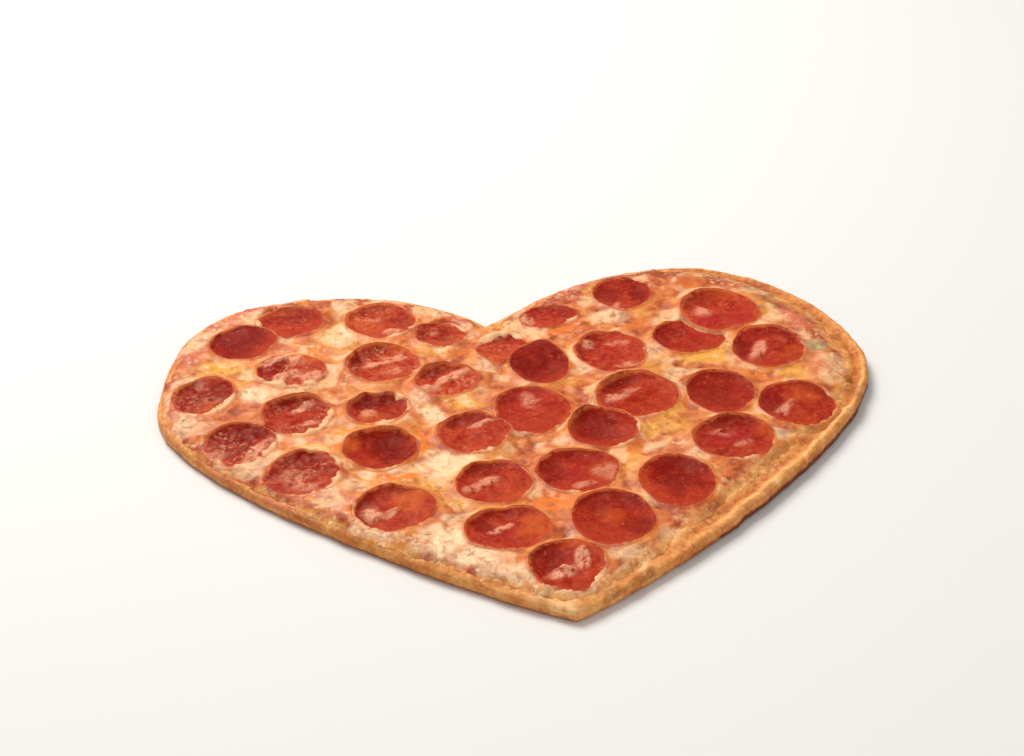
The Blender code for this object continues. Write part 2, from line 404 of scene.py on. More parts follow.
# Share of the way round from the tip, and how far inside its own edge the cheese still looks baked there
BARE_FADE = ((0.0, 4.0), (0.04, 6.0), (0.30, 6.0), (0.36, 4.0), (0.42, 2.0), (0.80, 1.2), (0.95, 1.6),
             (1.0, 4.0))

# Length round the outline, for patterns that run along it
ROUND = 870.0

# Points nearer than this are one point, in the units of a form that has a radius of 1
SAME_PLACE = 1e-6


@dataclass(frozen=True)
class Slice:
    """One pepperoni slice. Directions are in degrees on the plan.

    Attributes:
        x: Place of its middle across.
        y: Place of its middle along.
        wide: Size across.
        deep: Size along.
        cup: How far its edge curls up.
        lean: Direction in which the curl is strongest.
        fold: Height of the ridge across it.
        turn: Direction of that ridge.
        tone: From about -1, very dark, to about 1, light.
        grit: How grainy and wrinkled its face is, from 0 to 1.
        lap: How far the cheese laps over its edge.
        lap_at: Direction in which the cheese laps furthest.
    """

    x: float
    y: float
    wide: float
    deep: float
    cup: float
    lean: float
    fold: float
    turn: float
    tone: float
    grit: float
    lap: float
    lap_at: float


SLICES = (
    Slice(-1, -99, 30, 29, 2.0, 140, 1.5, 60, -0.2, 0.3, 2.4, -40),
    Slice(-20, -73, 35, 27, 2.0, 100, 1.6, 15, 0.2, 0.2, 1.5, -90),
    Slice(21, -72, 33, 36, 1.6, 80, 0.4, 90, -0.5, 0.1, 1.0, -60),
    Slice(-21, -41, 31, 30, 1.8, 120, 1.0, 25, 0.2, 0.3, 1.5, -20),
    Slice(13, -38, 34, 30, 1.6, 100, 0.6, 30, -0.3, 0.2, 2.0, -50),
    Slice(51, -51, 31, 36, 1.6, 60, 0.5, 100, -0.4, 0.1, 1.0, 20),
    Slice(-62, -51, 33, 28, 1.8, 100, 1.4, 20, -0.1, 0.4, 3.0, 220),
    Slice(-63, -10, 31, 29, 3.2, 90, 0.0, 0, -0.7, 0.1, 2.0, -90),
    Slice(-24, -5, 31, 28, 2.2, 90, 1.2, 10, 0.6, 0.4, 2.0, -50),
    Slice(29, -10, 30, 29, 2.4, 100, 0.6, 30, -0.7, 0.1, 3.0, -20),
    Slice(47, 12, 35, 33, 2.8, 120, 1.4, 20, 0.1, 0.3, 4.0, 215),
    Slice(80, -25, 34, 31, 2.0, 100, 1.2, 15, -0.6, 0.4, 1.5, -60),
    Slice(82, 10, 29, 33, 1.4, 80, 0.0, 0, -0.2, 0.1, 0.5, -90),
    Slice(112, -3, 33, 32, 1.5, 60, 0.6, 40, -0.1, 0.3, 2.0, 0),
    Slice(2, 9, 32, 35, 1.6, 120, 1.0, 35, 0.1, 0.3, 2.0, -90),
    Slice(11, 45, 26, 32, 1.0, 90, 0.0, 0, -1.1, 0.1, 0.5, 180),
    Slice(43, 49, 31, 33, 1.6, 150, 0.8, 10, 0.4, 0.5, 2.0, 0),
    Slice(78, 56, 32, 28, 1.2, 150, 0.5, 60, -0.1, 0.2, 1.0, 200),
    Slice(96, 74, 35, 35, 2.0, 120, 0.8, 40, 0.7, 0.3, 1.0, -30),
    Slice(110, 41, 31, 33, 2.0, 60, 1.4, 50, -0.2, 0.3, 2.0, -20),
    Slice(57, 98, 27, 31, 2.4, 60, 0.5, 70, -0.1, 0.1, 2.0, 45),
    Slice(21, 84, 26, 21, 1.6, 80, 0.6, 30, 0.2, 0.4, 3.0, -20),
    Slice(-27, 77, 24, 23, 1.6, 150, 1.0, 60, 1.2, 0.6, 3.0, 0),
    Slice(-2, 60, 24, 27, 2.4, 90, 1.6, 5, 0.6, 0.6, 5.0, 110),
    Slice(-52, 92, 31, 31, 2.2, 110, 1.2, 15, 0.6, 0.7, 4.0, -40),
    Slice(-91, 99, 30, 29, 2.0, 90, 0.8, 80, -0.1, 0.5, 3.0, 190),
    Slice(-113, 83, 30, 27, 1.4, 150, 0.2, 0, -1.1, 0.1, 1.0, 0),
    Slice(-94, 56, 31, 25, 1.8, 160, 1.6, 30, -0.1, 0.9, 6.0, -100),
    Slice(-55, 54, 32, 28, 3.0, 120, 2.0, 10, 1.1, 0.8, 2.0, -80),
    Slice(-30, 37, 28, 23, 2.6, 100, 1.4, 25, 1.1, 0.8, 2.0, -60),
    Slice(-132, 43, 27, 28, 2.2, 120, 1.2, 5, -1.1, 0.7, 6.0, -45),
    Slice(-94, 20, 29, 28, 2.8, 90, 1.6, 15, -0.5, 0.7, 4.5, -50),
    Slice(-61, 20, 27, 22, 2.8, 90, 1.4, 70, -1.0, 0.5, 5.0, -20),
    Slice(-119, 5, 30, 28, 1.8, 120, 1.4, 40, -1.3, 1.0, 5.0, -40),
    Slice(-95, -21, 31, 28, 1.8, 100, 1.4, 20, -0.9, 1.0, 3.0, -20),
)

# Number of the slice that lies on top, and of the slice that it lies on
STACKED = ((10, 11), (9, 15), (16, 24), (19, 18), (27, 26))


class ShaderBook:
    """A material and its node tree, written one node at a time."""

    def __init__(self, name: str) -> None:
        """Start an empty Principled material with a name.

        Args:
            name: The material's name.
        """
        self.material = bpy.data.materials.new(name)
        self.material.use_nodes = True
        self.nodes = self.material.node_tree.nodes
        self.links = self.material.node_tree.links
        self.shader = self.nodes["Principled BSDF"]
        self.place = self.nodes.new("ShaderNodeTexCoord").outputs["Object"]

    def node(self, kind: str, **settings: object) -> bpy.types.Node:
        """Add a node of a kind with its settings.

        Args:
            kind: The node's type.
            settings: Values of its own properties.

        Returns:
            The node.
        """
        made = self.nodes.new(kind)
        for name, value in settings.items():
            setattr(made, name, value)
        return made

    def feed(self, target: Socket, value: object) -> None:
        """Link a socket to a target, or set the target to a plain value.

        Args:
            target: The input.
            value: A socket, a number, a colour or a vector.
        """
        if isinstance(value, bpy.types.NodeSocket):
            self.links.new(value, target)
        elif isinstance(value, tuple) and len(value) == 3 and target.type == "RGBA":
            target.default_value = (*value, 1.0)
        else:
            target.default_value = value

    def attribute(self, name: str) -> Socket:
        """Return a number painted on the mesh."""
        return self.node("ShaderNodeAttribute", attribute_name=name).outputs["Fac"]

    def noise(
        self, size: float, detail: float = 3.0, roughness: float = 0.55, stretch: float = 0.0
    ) -> Socket:
        """Add noise with lumps of a size.

        Args:
            size: Size of the lumps.
            detail: How many finer sizes are added.
            roughness: Weight of the finer sizes.
            stretch: How far the pattern is warped by itself.

        Returns:
            The noise's value, from 0 to 1.
        """
        made = self.node("ShaderNodeTexNoise")
        self.feed(made.inputs["Vector"], self.place)
        self.feed(made.inputs["Scale"], 1.0 / (size * MM))
        self.feed(made.inputs["Detail"], detail)
        self.feed(made.inputs["Roughness"], roughness)
        self.feed(made.inputs["Distortion"], stretch)
        return made.outputs["Fac"]

    def calc(self, operation: str, first: object, second: object = 0.0, clamp: bool = False) -> Socket:
        """Return the result of a sum on one or two values.

        Args:
            operation: The sum.
            first: Its first value.
            second: Its second value.
            clamp: Whether the result is kept from 0 to 1.

        Returns:
            The result.
        """
        made = self.node("ShaderNodeMath", operation=operation, use_clamp=clamp)
        self.feed(made.inputs[0], first)
        self.feed(made.inputs[1], second)
        return made.outputs[0]

    def times(self, first: object, second: object) -> Socket:
        """Return the product of two values."""
        return self.calc("MULTIPLY", first, second)

    def plus(self, first: object, second: object, clamp: bool = False) -> Socket:
        """Return the sum of two values, kept from 0 to 1 where clamp is set."""
        return self.calc("ADD", first, second, clamp)

    def mottle(self, low: float, high: float, *noise_settings: float) -> Socket:
        """Return noise spread from 0 to 1 between a low and a high value of it."""
        return self.spread(self.noise(*noise_settings), low, high)

    def spread(self, value: Socket, low: float, high: float, start: float = 0.0, end: float = 1.0) -> Socket:
        """Return a value spread smoothly from one range to another.

        Args:
            value: The value.
            low: Where it starts to change.
            high: Where it has changed.
            start: The result at low.
            end: The result at high.

        Returns:
            The spread value.
        """
        made = self.node("ShaderNodeMapRange", interpolation_type="SMOOTHSTEP")
        names = ("Value", "From Min", "From Max", "To Min", "To Max")
        for name, number in zip(names, (value, low, high, start, end)):
            self.feed(made.inputs[name], number)
        return made.outputs["Result"]

    def ramp(self, value: Socket, stops: tuple[tuple[float, Colour], ...]) -> Socket:
        """Return a colour read from a ramp of places and colours.

        Args:
            value: Where to read it, from 0 to 1.
            stops: Pairs of place and colour.

        Returns:
            The colour.
        """
        made = self.node("ShaderNodeValToRGB")
        marks = made.color_ramp.elements
        while len(marks) < len(stops):
            marks.new(0.5)
        for mark, (place, colour) in zip(marks, stops):
            mark.position = place
            mark.color = (*colour, 1.0)
        self.feed(made.inputs["Fac"], value)
        return made.outputs["Color"]

    def blend(self, share: object, first: object, second: object, way: str = "MIX") -> Socket:
        """Return a blend of two colours.

        Args:
            share: How much of the second.
            first: The first colour.
            second: The second colour.
            way: How they are blended.

        Returns:
            The colour.
        """
        made = self.node("ShaderNodeMix", data_type="RGBA", blend_type=way)
        self.feed(made.inputs["Factor"], share)
        self.feed(made.inputs[6], first)
        self.feed(made.inputs[7], second)
        return made.outputs[2]

    def stains(self, colour: Socket, patchy: Socket, least: float, kinds: Stains) -> Socket:
        """Lay the patches painted on the mesh over a colour.

        Args:
            colour: The colour under them.
            patchy: Noise that breaks them up.
            least: What is left of a patch where that noise is 0.
            kinds: Each kind of patch, with its shade and its greatest strength.

        Returns:
            The stained colour.
        """
        for tint, shade, most in kinds:
            amount = self.times(self.attribute(tint.value), self.plus(patchy, least, True))
            colour = self.blend(self.times(amount, most), colour, shade)
        return colour

    def lumps(
        self, colour: Socket, share: Socket, size: float, shades: tuple[Colour, Colour]
    ) -> tuple[Socket, Socket]:
        """Lay small round lumps over a colour.

        Args:
            colour: The colour under them.
            share: How thickly they lie.
            size: Size of each.
            shades: The two shades that they vary between.

        Returns:
            The colour with the lumps, and their height from 0 to 1.
        """
        warp = self.node("ShaderNodeTexNoise")
        self.feed(warp.inputs["Vector"], self.place)
        self.feed(warp.inputs["Scale"], 0.7 / (size * MM))
        shifted = self.node("ShaderNodeVectorMath", operation="MULTIPLY_ADD")
        self.feed(shifted.inputs[0], warp.outputs["Color"])
        self.feed(shifted.inputs[1], (2.2 * size * MM,) * 3)
        self.feed(shifted.inputs[2], self.place)
        made = self.node("ShaderNodeTexVoronoi")
        self.feed(made.inputs["Vector"], shifted.outputs["Vector"])
        self.feed(made.inputs["Scale"], 1.0 / (size * MM))
        own = made.outputs["Color"]
        near = self.spread(made.outputs["Distance"], 0.66, 0.25)
        high = self.times(near, self.spread(own, 0.25, 0.5))
        high = self.times(high, share)
        shade = self.blend(self.spread(own, 0.3, 0.7), *shades)
        return self.blend(self.times(high, 0.75), colour, shade), high

    def bump(self, height: Socket, distance: float, strength: float = 1.0) -> None:
        """Give the surface fine relief of a height.

        Args:
            height: The relief from 0 to 1.
            distance: Its height in millimetres.
            strength: Its strength.
        """
        made = self.node("ShaderNodeBump")
        self.feed(made.inputs["Height"], height)
        self.feed(made.inputs["Distance"], distance * MM)
        self.feed(made.inputs["Strength"], strength)
        self.links.new(made.outputs["Normal"], self.shader.inputs["Normal"])

    def finish(self, colour: Socket, roughness: object, **constants: object) -> bpy.types.Material:
        """Connect the colour and roughness, set the plain values and return the material.

        Args:
            colour: The colour.
            roughness: The roughness.
            constants: Other inputs of the shader, by their names in lower case.

        Returns:
            The material.
        """
        self.feed(self.shader.inputs["Base Color"], colour)
        self.feed(self.shader.inputs["Roughness"], roughness)
        for name, value in constants.items():
            self.feed(self.shader.inputs[name.replace("_", " ").title().replace("Ior", "IOR")], value)
        return self.material


# Patches of each kind: place across and along, half length, half width, turn in degrees, strength
PATCHES: dict[Tint, tuple[tuple[float, float, float, float, float, float], ...]] = {
    Tint.ORANGE: (
        (2, -56, 14, 7, 10, 1.0), (22, 75, 13, 6, 10, 1.0), (-58, -27, 15, 5, 0, 1.0),
        (33, -26, 6, 5, 0, 1.0), (-42, 36, 8, 4, 60, 0.6), (-42, 66, 7, 4, 60, 0.7),
        (-80, -6, 3, 14, 0, 1.0), (-46, -5, 3, 12, 0, 1.0), (-6, -106, 5, 2, -40, 0.8),
        (-52, 108, 11, 4, 0, 0.6), (40, 35, 8, 3, 0, 0.4), (100, 22, 9, 3, -30, 0.7),
        (90, 102, 12, 4, 20, 0.5), (132, 14, 4, 12, 0, 0.4), (60, 72, 5, 4, 0, 0.5), (-97, 3, 8, 4, 0, 0.5),
        (-84, 74, 7, 5, 0, 0.6), (13, -6, 3, 13, 0, 0.9), (-62, 7, 14, 2, 0, 0.9),
        (68, -38, 5, 9, -30, 0.4), (8, -82, 9, 3, 30, 0.6), (-20, 62, 6, 4, 0, 0.4)),
    Tint.YELLOW: (
        (-25, 22, 9, 5, -20, 0.9), (-41, 17, 3, 5, 0, 0.9), (-47, -35, 4, 10, 0, 0.7),
        (-36, -52, 7, 5, 0, 0.9), (85, 40, 13, 6, 15, 1.0), (113, 21, 7, 3, 0, 0.9), (57, 2, 7, 9, 0, 0.8),
        (45, -14, 10, 6, 0, 0.7), (-124, 65, 14, 6, -10, 0.9), (-88, -4, 9, 4, -20, 0.8),
        (33, -30, 7, 5, 0, 0.8), (-70, 90, 4, 12, -15, 0.5), (-112, 54, 7, 6, 0, 0.6),
        (60, 40, 8, 4, 0, 0.4), (62, -45, 4, 10, -20, 0.4)),
    Tint.CREAM: (
        (-36, -26, 13, 10, 0, 1.0), (-38, 12, 6, 8, 0, 0.9), (-44, -75, 8, 11, 0, 1.0),
        (-34, -88, 12, 6, -40, 1.0), (-22, -99, 10, 5, -40, 0.8), (25, -94, 9, 7, 20, 0.6),
        (-111, 41, 6, 7, 30, 1.0), (-71, 82, 6, 9, 0, 0.8), (-66, 107, 5, 9, -15, 0.7),
        (47, 79, 8, 6, 0, 0.8), (-88, -5, 7, 3, -20, 0.7), (64, 22, 3, 12, 0, 0.7), (60, 48, 5, 7, 0, 0.5),
        (28, 50, 3, 8, 0, 0.7), (12, -3, 3, 5, 0, 0.7), (-8, -112, 12, 4, 0, 0.7), (-6, -120, 9, 4, 0, 0.9),
        (-26, 95, 5, 4, 0, 0.7), (-107, 104, 4, 6, -20, 0.6), (-140, 25, 5, 8, 0, 0.7),
        (-90, 10, 14, 3, 20, 0.8), (-107, 3, 9, 3, 50, 0.8), (-75, -32, 7, 5, -30, 0.6),
        (-55, -78, 6, 4, -40, 0.5), (40, -84, 6, 4, 40, 0.5)),
    Tint.BLUSH: (
        (-138, 76, 13, 10, 30, 1.0), (-100, 76, 10, 6, -20, 0.8), (-95, 52, 12, 6, 30, 0.8),
        (-20, 85, 7, 7, 0, 0.7), (-62, -60, 10, 4, 0, 0.8), (-85, -38, 12, 6, -40, 0.8),
        (128, 62, 6, 11, 20, 1.0), (128, 25, 5, 14, 0, 0.7), (58, -22, 5, 6, 0, 0.6),
        (40, 110, 8, 5, 30, 0.9), (-46, 18, 5, 7, 0, 0.8), (-42, 32, 6, 5, 0, 0.7), (0, -111, 9, 4, 0, 0.5),
        (5, 32, 8, 4, 0, 0.5), (-144, 40, 5, 22, 0, 0.8), (32, 100, 5, 5, 0, 0.5),
        (-130, -14, 18, 8, -58, 1.0), (-108, -36, 16, 7, -45, 1.0), (-124, 100, 14, 6, 40, 0.9),
        (-108, 112, 12, 4, 15, 0.7), (112, 100, 12, 5, -35, 0.7)),
    Tint.BROWN: (
        (85, 113, 8, 5, 0, 0.8), (118, 88, 5, 8, 0, 0.8), (138, 20, 4, 16, 5, 1.0),
        (137, 48, 4.5, 12, 5, 1.0), (110, -22, 6, 9, -40, 0.3), (60, -62, 8, 3, 40, 0.3),
        (85, -45, 9, 3, 40, 0.3), (28, -106, 6, 3, 40, 0.7), (14, -113, 6, 3, 40, 0.6),
        (-30, -99, 6, 3, -40, 0.5), (-60, -73, 7, 3, -40, 0.6), (-80, -60, 6, 3, -45, 0.6),
        (-100, -44, 7, 3, -45, 0.6), (-137, -8, 3, 8, 20, 0.6), (105, 104, 20, 6, -32, 0.8),
        (70, 115, 14, 4, 0, 0.6), (-84, 86, 4, 4, 0, 0.5)),
    Tint.ASH: (
        (130, 40, 7, 5, 0, 1.0), (124, 84, 6, 2.5, -30, 0.8), (-80, -13, 2, 1.5, 0, 0.8),
        (134, 70, 3, 5, 0, 0.5), (114, 96, 4, 3, 0, 0.5)),
    Tint.CRUMB: (
        (-25, -101, 26, 7, -38, 0.9), (-62, -72, 26, 8, -38, 0.9), (-98, -42, 24, 9, -42, 1.0),
        (-133, -5, 20, 10, -60, 1.0), (-146, 35, 9, 22, 0, 0.9), (-141, 73, 11, 16, 20, 1.0),
        (-122, 102, 14, 8, 40, 0.9), (-95, 115, 16, 6, 10, 0.8), (-60, 112, 16, 6, -15, 0.6),
        (0, -110, 18, 7, 0, 0.9), (26, -94, 10, 8, 30, 0.8), (-64, -62, 14, 6, 0, 0.8),
        (-108, 0, 8, 10, 40, 0.7), (-98, 52, 14, 9, 20, 0.7), (-92, 74, 16, 8, 0, 0.7),
        (-25, 92, 16, 7, 0, 0.8), (28, 50, 5, 12, 0, 0.8), (60, 48, 6, 10, 0, 0.7),
        (128, 56, 8, 16, 10, 0.8), (126, 20, 6, 14, 0, 0.6), (30, 104, 14, 8, 30, 0.8),
        (-44, 18, 7, 10, 0, 0.7), (46, -6, 6, 12, 20, 0.8), (64, 20, 5, 12, 0, 0.7),
        (-44, -75, 9, 10, 0, 0.4), (52, -76, 16, 7, 40, 0.6), (86, -46, 16, 7, 40, 0.6),
        (100, 106, 18, 8, -30, 0.7), (-60, 84, 10, 8, 0, 0.6)),
    # Pale fat on the slices' folds, which also carries painted highlights
    Tint.PALE: (
        (5, -96, 3, 7, -15, 1.0), (-3, -103, 6, 3, 15, 1.0), (-22, -72, 7, 2, 25, 1.0),
        (-24, -40, 6, 3, 30, 0.8), (-30, -44, 4, 2, 0, 0.6), (-71, -52, 4, 5, 30, 1.0),
        (-64, -54, 5, 2, 30, 0.7), (25, -40, 5, 6, 0, 0.5), (14, -48, 6, 2, 10, 0.6),
        (76, -20, 5, 5, 0, 0.4), (82, -30, 6, 2, 20, 0.5), (106, -6, 6, 3, 40, 0.7),
        (106, 40, 3, 9, -30, 0.8), (88, 74, 4, 5, 0, 0.7), (34, 56, 3, 4, 0, 0.7), (47, 56, 6, 2, 0, 0.5),
        (50, 37, 8, 2, 0, 0.6), (37, 12, 6, 3, 30, 0.8), (46, 18, 5, 2, 0, 0.5), (-20, 1, 7, 2, 10, 0.8),
        (3, 16, 4, 6, 0, 0.5), (-3, 71, 5, 3, 0, 0.8), (12, 84, 3, 5, 0, 0.8), (52, 86, 2, 6, -20, 0.6),
        (-47, 82, 5, 2, 10, 1.0), (-55, 93, 4, 3, 0, 0.4), (-57, 55, 8, 2, 10, 0.9),
        (-48, 58, 6, 2, -15, 0.8), (-52, 48, 6, 2, 10, 0.5), (-27, 40, 9, 3, 30, 1.0),
        (-38, 32, 5, 3, 30, 0.8), (-92, 64, 4, 4, 0, 0.9), (-98, 51, 4, 6, -40, 1.0),
        (-86, 50, 5, 6, -40, 0.9), (-92, 26, 6, 2, 30, 1.0), (-91, 14, 5, 2, 10, 0.8),
        (-65, 17, 3, 5, 0, 0.6), (-133, 53, 2, 5, 0, 0.4), (-130, 40, 6, 3, 0, 0.3),
        (-128, 3, 7, 5, 0, 0.35), (-113, -3, 11, 3, 48, 1.0), (-130, -1, 6, 5, 0, 0.6),
        (-94, -30, 6, 3, 0, 0.7), (-100, -22, 8, 5, 0, 0.4), (-100, 65, 9, 2, 20, 0.9),
        (-94, 54, 6, 4, 0, 0.8), (-30, 80, 2, 4, 0, 0.4)),
    # Painted shade: the dark inner walls and hollows of the cups
    Tint.PAINTED_SHADE: (
        (-60, -8, 10, 12, 0, 1.0), (-113, 88, 14, 12, 0, 0.7), (10, 46, 11, 13, 0, 0.9),
        (-62, 26, 10, 5, 0, 1.0), (-119, 11, 13, 5, 0, 1.0), (-99, 30, 7, 5, 40, 0.9),
        (-36, 45, 7, 4, 40, 0.9), (-66, 56, 3, 9, -10, 1.0), (-31, 6, 6, 6, 0, 0.8),
        (40, 23, 9, 5, 20, 1.0), (26, -6, 10, 11, 0, 0.8), (-74, -49, 4, 9, 0, 0.9),
        (-24, -30, 9, 4, 20, 0.6), (3, -37, 7, 8, 0, 0.7), (50, -44, 10, 14, 0, 0.8),
        (75, -14, 8, 4, 0, 0.8), (74, -34, 5, 2, 20, 0.7), (80, 12, 13, 14, 0, 0.6),
        (100, -2, 7, 10, 0, 0.7), (85, 90, 8, 5, 50, 0.5), (98, 43, 5, 10, -20, 0.7),
        (50, 98, 7, 11, 0, 0.6), (64, 95, 4, 12, -10, 0.7), (28, 88, 5, 6, 0, 0.5), (-28, 78, 7, 8, 0, 0.6),
        (-138, 54, 5, 5, 0, 0.9), (-125, 44, 5, 8, -20, 0.7), (-88, 104, 10, 8, 0, 0.5),
        (-30, -68, 6, 9, 20, 0.7), (-9, -94, 6, 8, -20, 0.7), (16, -62, 8, 8, 0, 0.4),
        (30, -78, 7, 7, 0, 0.5), (68, 60, 8, 8, 0, 0.5), (46, 65, 10, 3, 0, 0.6), (-55, 101, 10, 3, 0, 0.4),
        (-42, 93, 5, 8, 0, 0.4), (-121, 6, 13, 9, 40, 0.6), (-97, -18, 13, 8, 20, 0.5),
        (-134, 44, 9, 10, 0, 0.6), (-98, 58, 4, 5, 0, 0.8)),
    Tint.AMBER: (
        (-55, -47, 7, 9, 0, 0.9), (-8, -74, 9, 8, 0, 0.8), (21, -70, 6, 6, 0, 0.5),
        (5, -86, 7, 4, -20, 0.7), (-74, -2, 4, 9, 0, 0.8), (-60, 9, 12, 3, 0, 0.8), (-58, 90, 8, 8, 0, 0.5),
        (-50, 104, 10, 4, 0, 0.7), (-45, 66, 6, 4, 0, 0.7), (-86, 64, 6, 5, 0, 0.8),
        (-95, 110, 9, 4, 0, 0.5), (100, 91, 8, 6, 0, 0.8), (118, 4, 8, 8, 0, 0.6), (95, -24, 5, 8, 0, 0.5),
        (38, -52, 3, 12, 0, 0.4), (16, -2, 3, 10, 0, 0.6), (-8, 50, 5, 6, 0, 0.6), (-130, 36, 8, 5, 0, 0.6),
        (-65, 14, 6, 5, 0, 0.7), (120, 36, 5, 6, 0, 0.4), (22, -40, 9, 9, 0, 0.3), (-15, -50, 8, 4, 0, 0.4)),
    Tint.ROSE: (
        (-105, 57, 6, 8, -40, 1.0), (88, 62, 10, 5, 40, 1.0), (102, 68, 7, 7, 50, 0.8),
        (-26, -76, 8, 4, 10, 0.6), (78, -26, 12, 7, 0, 0.7), (100, 1, 6, 8, 0, 0.6),
        (45, 50, 10, 10, 0, 0.4), (2, 18, 12, 12, 0, 0.4), (10, -40, 8, 8, 0, 0.4), (2, 66, 5, 6, 0, 0.6),
        (104, 46, 9, 12, 0, 0.4)),
}


def tinted(tint: Tint, x: Array, y: Array, grain: Grain) -> Array:
    """Return how strongly one kind of patch colours each place.

    Args:
        tint: The kind of patch.
        x: Places across.
        y: Places along.
        grain: The noise that makes the patches' edges uneven.

    Returns:
        The strength from 0 to 1 at each place.
    """
    waver = 0.4 * grain.fractal(x, y, 5.5, 3)
    result = np.zeros(np.shape(x))
    for place_x, place_y, long, wide, turn, strength in PATCHES.get(tint, ()):
        ahead, aside = math.cos(math.radians(turn)), math.sin(math.radians(turn))
        along = ((x - place_x) * ahead + (y - place_y) * aside) / long
        across = ((y - place_y) * ahead - (x - place_x) * aside) / wide
        result = np.maximum(result, strength * ease(1.3, 0.5, np.hypot(along, across) + waver))
    return result


@dataclass(frozen=True)
class CrustFinish:
    """Baked dough: golden, browner in the groove and in spots, with painted shade low on its wall, deepest
    under the rolled rim.
    """

    tones: tuple[tuple[float, Colour], ...] = (
        (0.0, linear(112, 50, 17)),
        (0.2, linear(168, 86, 34)),
        (0.42, linear(206, 124, 58)),
        (0.62, linear(226, 152, 82)),
        (0.82, linear(240, 182, 112)),
        (1.0, linear(251, 212, 150)),
    )
    stains: Stains = (
        (Tint.ORANGE, linear(214, 100, 46), 0.8),
        (Tint.BLUSH, linear(216, 116, 80), 0.8),
        (Tint.CREAM, linear(248, 204, 142), 0.8),
        (Tint.BROWN, linear(140, 62, 18), 0.85),
        (Tint.ASH, linear(170, 148, 104), 0.9),
    )
    crumbs: tuple[Colour, Colour] = (linear(214, 112, 70), linear(250, 204, 148))

    def ground(self, book: ShaderBook) -> Socket:
        """Return the mottled gold of the dough from the mesh's toast, which on the crust also holds painted
        shade low on the wall, and the noise.

        Args:
            book: The material to write it in.

        Returns:
            The colour.
        """
        tone = book.times(book.mottle(0.3, 0.7, 8.0, 4.0, 0.6, 0.6), 0.28)
        tone = book.plus(tone, book.times(book.mottle(0.3, 0.7, 1.9, 4.0, 0.65), 0.22))
        tone = book.plus(tone, book.attribute("toast"))
        return book.ramp(book.plus(tone, 0.25, True), self.tones)

    def material(self) -> bpy.types.Material:
        """Return the crust's material.

        Returns:
            The material.
        """
        book = ShaderBook("baked_crust")
        colour = self.ground(book)
        patchy = book.mottle(0.36, 0.6, 2.8, 3.0, 0.6, 0.5)
        colour = book.stains(colour, patchy, 0.3, self.stains)
        colour, high = book.lumps(colour, book.attribute(Tint.CRUMB.value), 2.4, self.crumbs)
        book.bump(book.plus(book.noise(0.9, 5.0, 0.7), book.times(high, 0.8)), 0.3, 0.5)
        roughness = book.spread(book.noise(3.0), 0.3, 0.7, 0.5, 0.75)
        return book.finish(colour, roughness, specular_ior_level=0.25, subsurface_weight=0.06,
                           subsurface_scale=0.003)


@dataclass(frozen=True)
class CheeseFinish:
    """Melted cheese: cream lumps, peach ground, orange grease, toasted spots and a golden edge."""

    tones: tuple[tuple[float, Colour], ...] = (
        (0.0, linear(160, 66, 26)),
        (0.2, linear(196, 96, 44)),
        (0.4, linear(217, 126, 62)),
        (0.6, linear(231, 152, 86)),
        (0.8, linear(241, 178, 114)),
        (1.0, linear(247, 203, 149)),
    )
    stains: Stains = (
        (Tint.YELLOW, linear(242, 178, 74), 0.9),
        (Tint.ORANGE, linear(236, 124, 38), 0.9),
        (Tint.BLUSH, linear(214, 110, 80), 0.85),
        (Tint.CREAM, linear(250, 212, 163), 0.95),
    )
    toast: Colour = linear(160, 74, 32)
    ash: Colour = linear(168, 148, 102)
    crumbs: tuple[Colour, Colour] = (linear(212, 104, 76), linear(251, 214, 170))

    def material(self) -> bpy.types.Material:
        """Return the cheese's material.

        Returns:
            The material.
        """
        book = ShaderBook("melted_cheese")
        tone = book.times(book.mottle(0.34, 0.66, 9.0, 2.0, 0.5, 0.3), 0.34)
        small = book.mottle(0.36, 0.64, 3.2, 2.0, 0.55, 0.2)
        tone = book.plus(tone, book.times(small, 0.16))
        fine = book.mottle(0.3, 0.7, 1.1, 3.0, 0.6, 0.2)
        tone = book.plus(tone, book.times(fine, 0.1))
        tone = book.plus(tone, book.attribute("tone"))
        colour = book.ramp(book.plus(tone, 0.0, True), self.tones)
        patchy = book.mottle(0.36, 0.6, 3.0, 3.0, 0.6, 0.5)
        colour = book.stains(colour, patchy, 0.55, self.stains)
        browned = book.times(book.attribute(Tint.BROWN.value), book.mottle(0.42, 0.6, 2.2, 3.0, 0.6))
        colour = book.blend(book.times(browned, 0.6), colour, self.toast)
        colour = book.blend(book.times(book.attribute(Tint.ASH.value), 0.85), colour, self.ash)
        colour = book.blend(book.attribute(Tint.BARE.value), colour, CrustFinish().ground(book))
        colour, high = book.lumps(colour, book.attribute(Tint.CRUMB.value), 2.4, self.crumbs)
        wet = book.plus(book.attribute(Tint.ORANGE.value), book.attribute(Tint.YELLOW.value), True)
        roughness = book.calc("SUBTRACT", 0.48, book.times(wet, 0.22))
        book.bump(book.plus(book.noise(0.9, 3.0, 0.55), book.times(high, 0.8)), 0.25, 0.4)
        return book.finish(colour, roughness, specular_ior_level=0.3, subsurface_weight=0.15,
                           subsurface_scale=0.003)


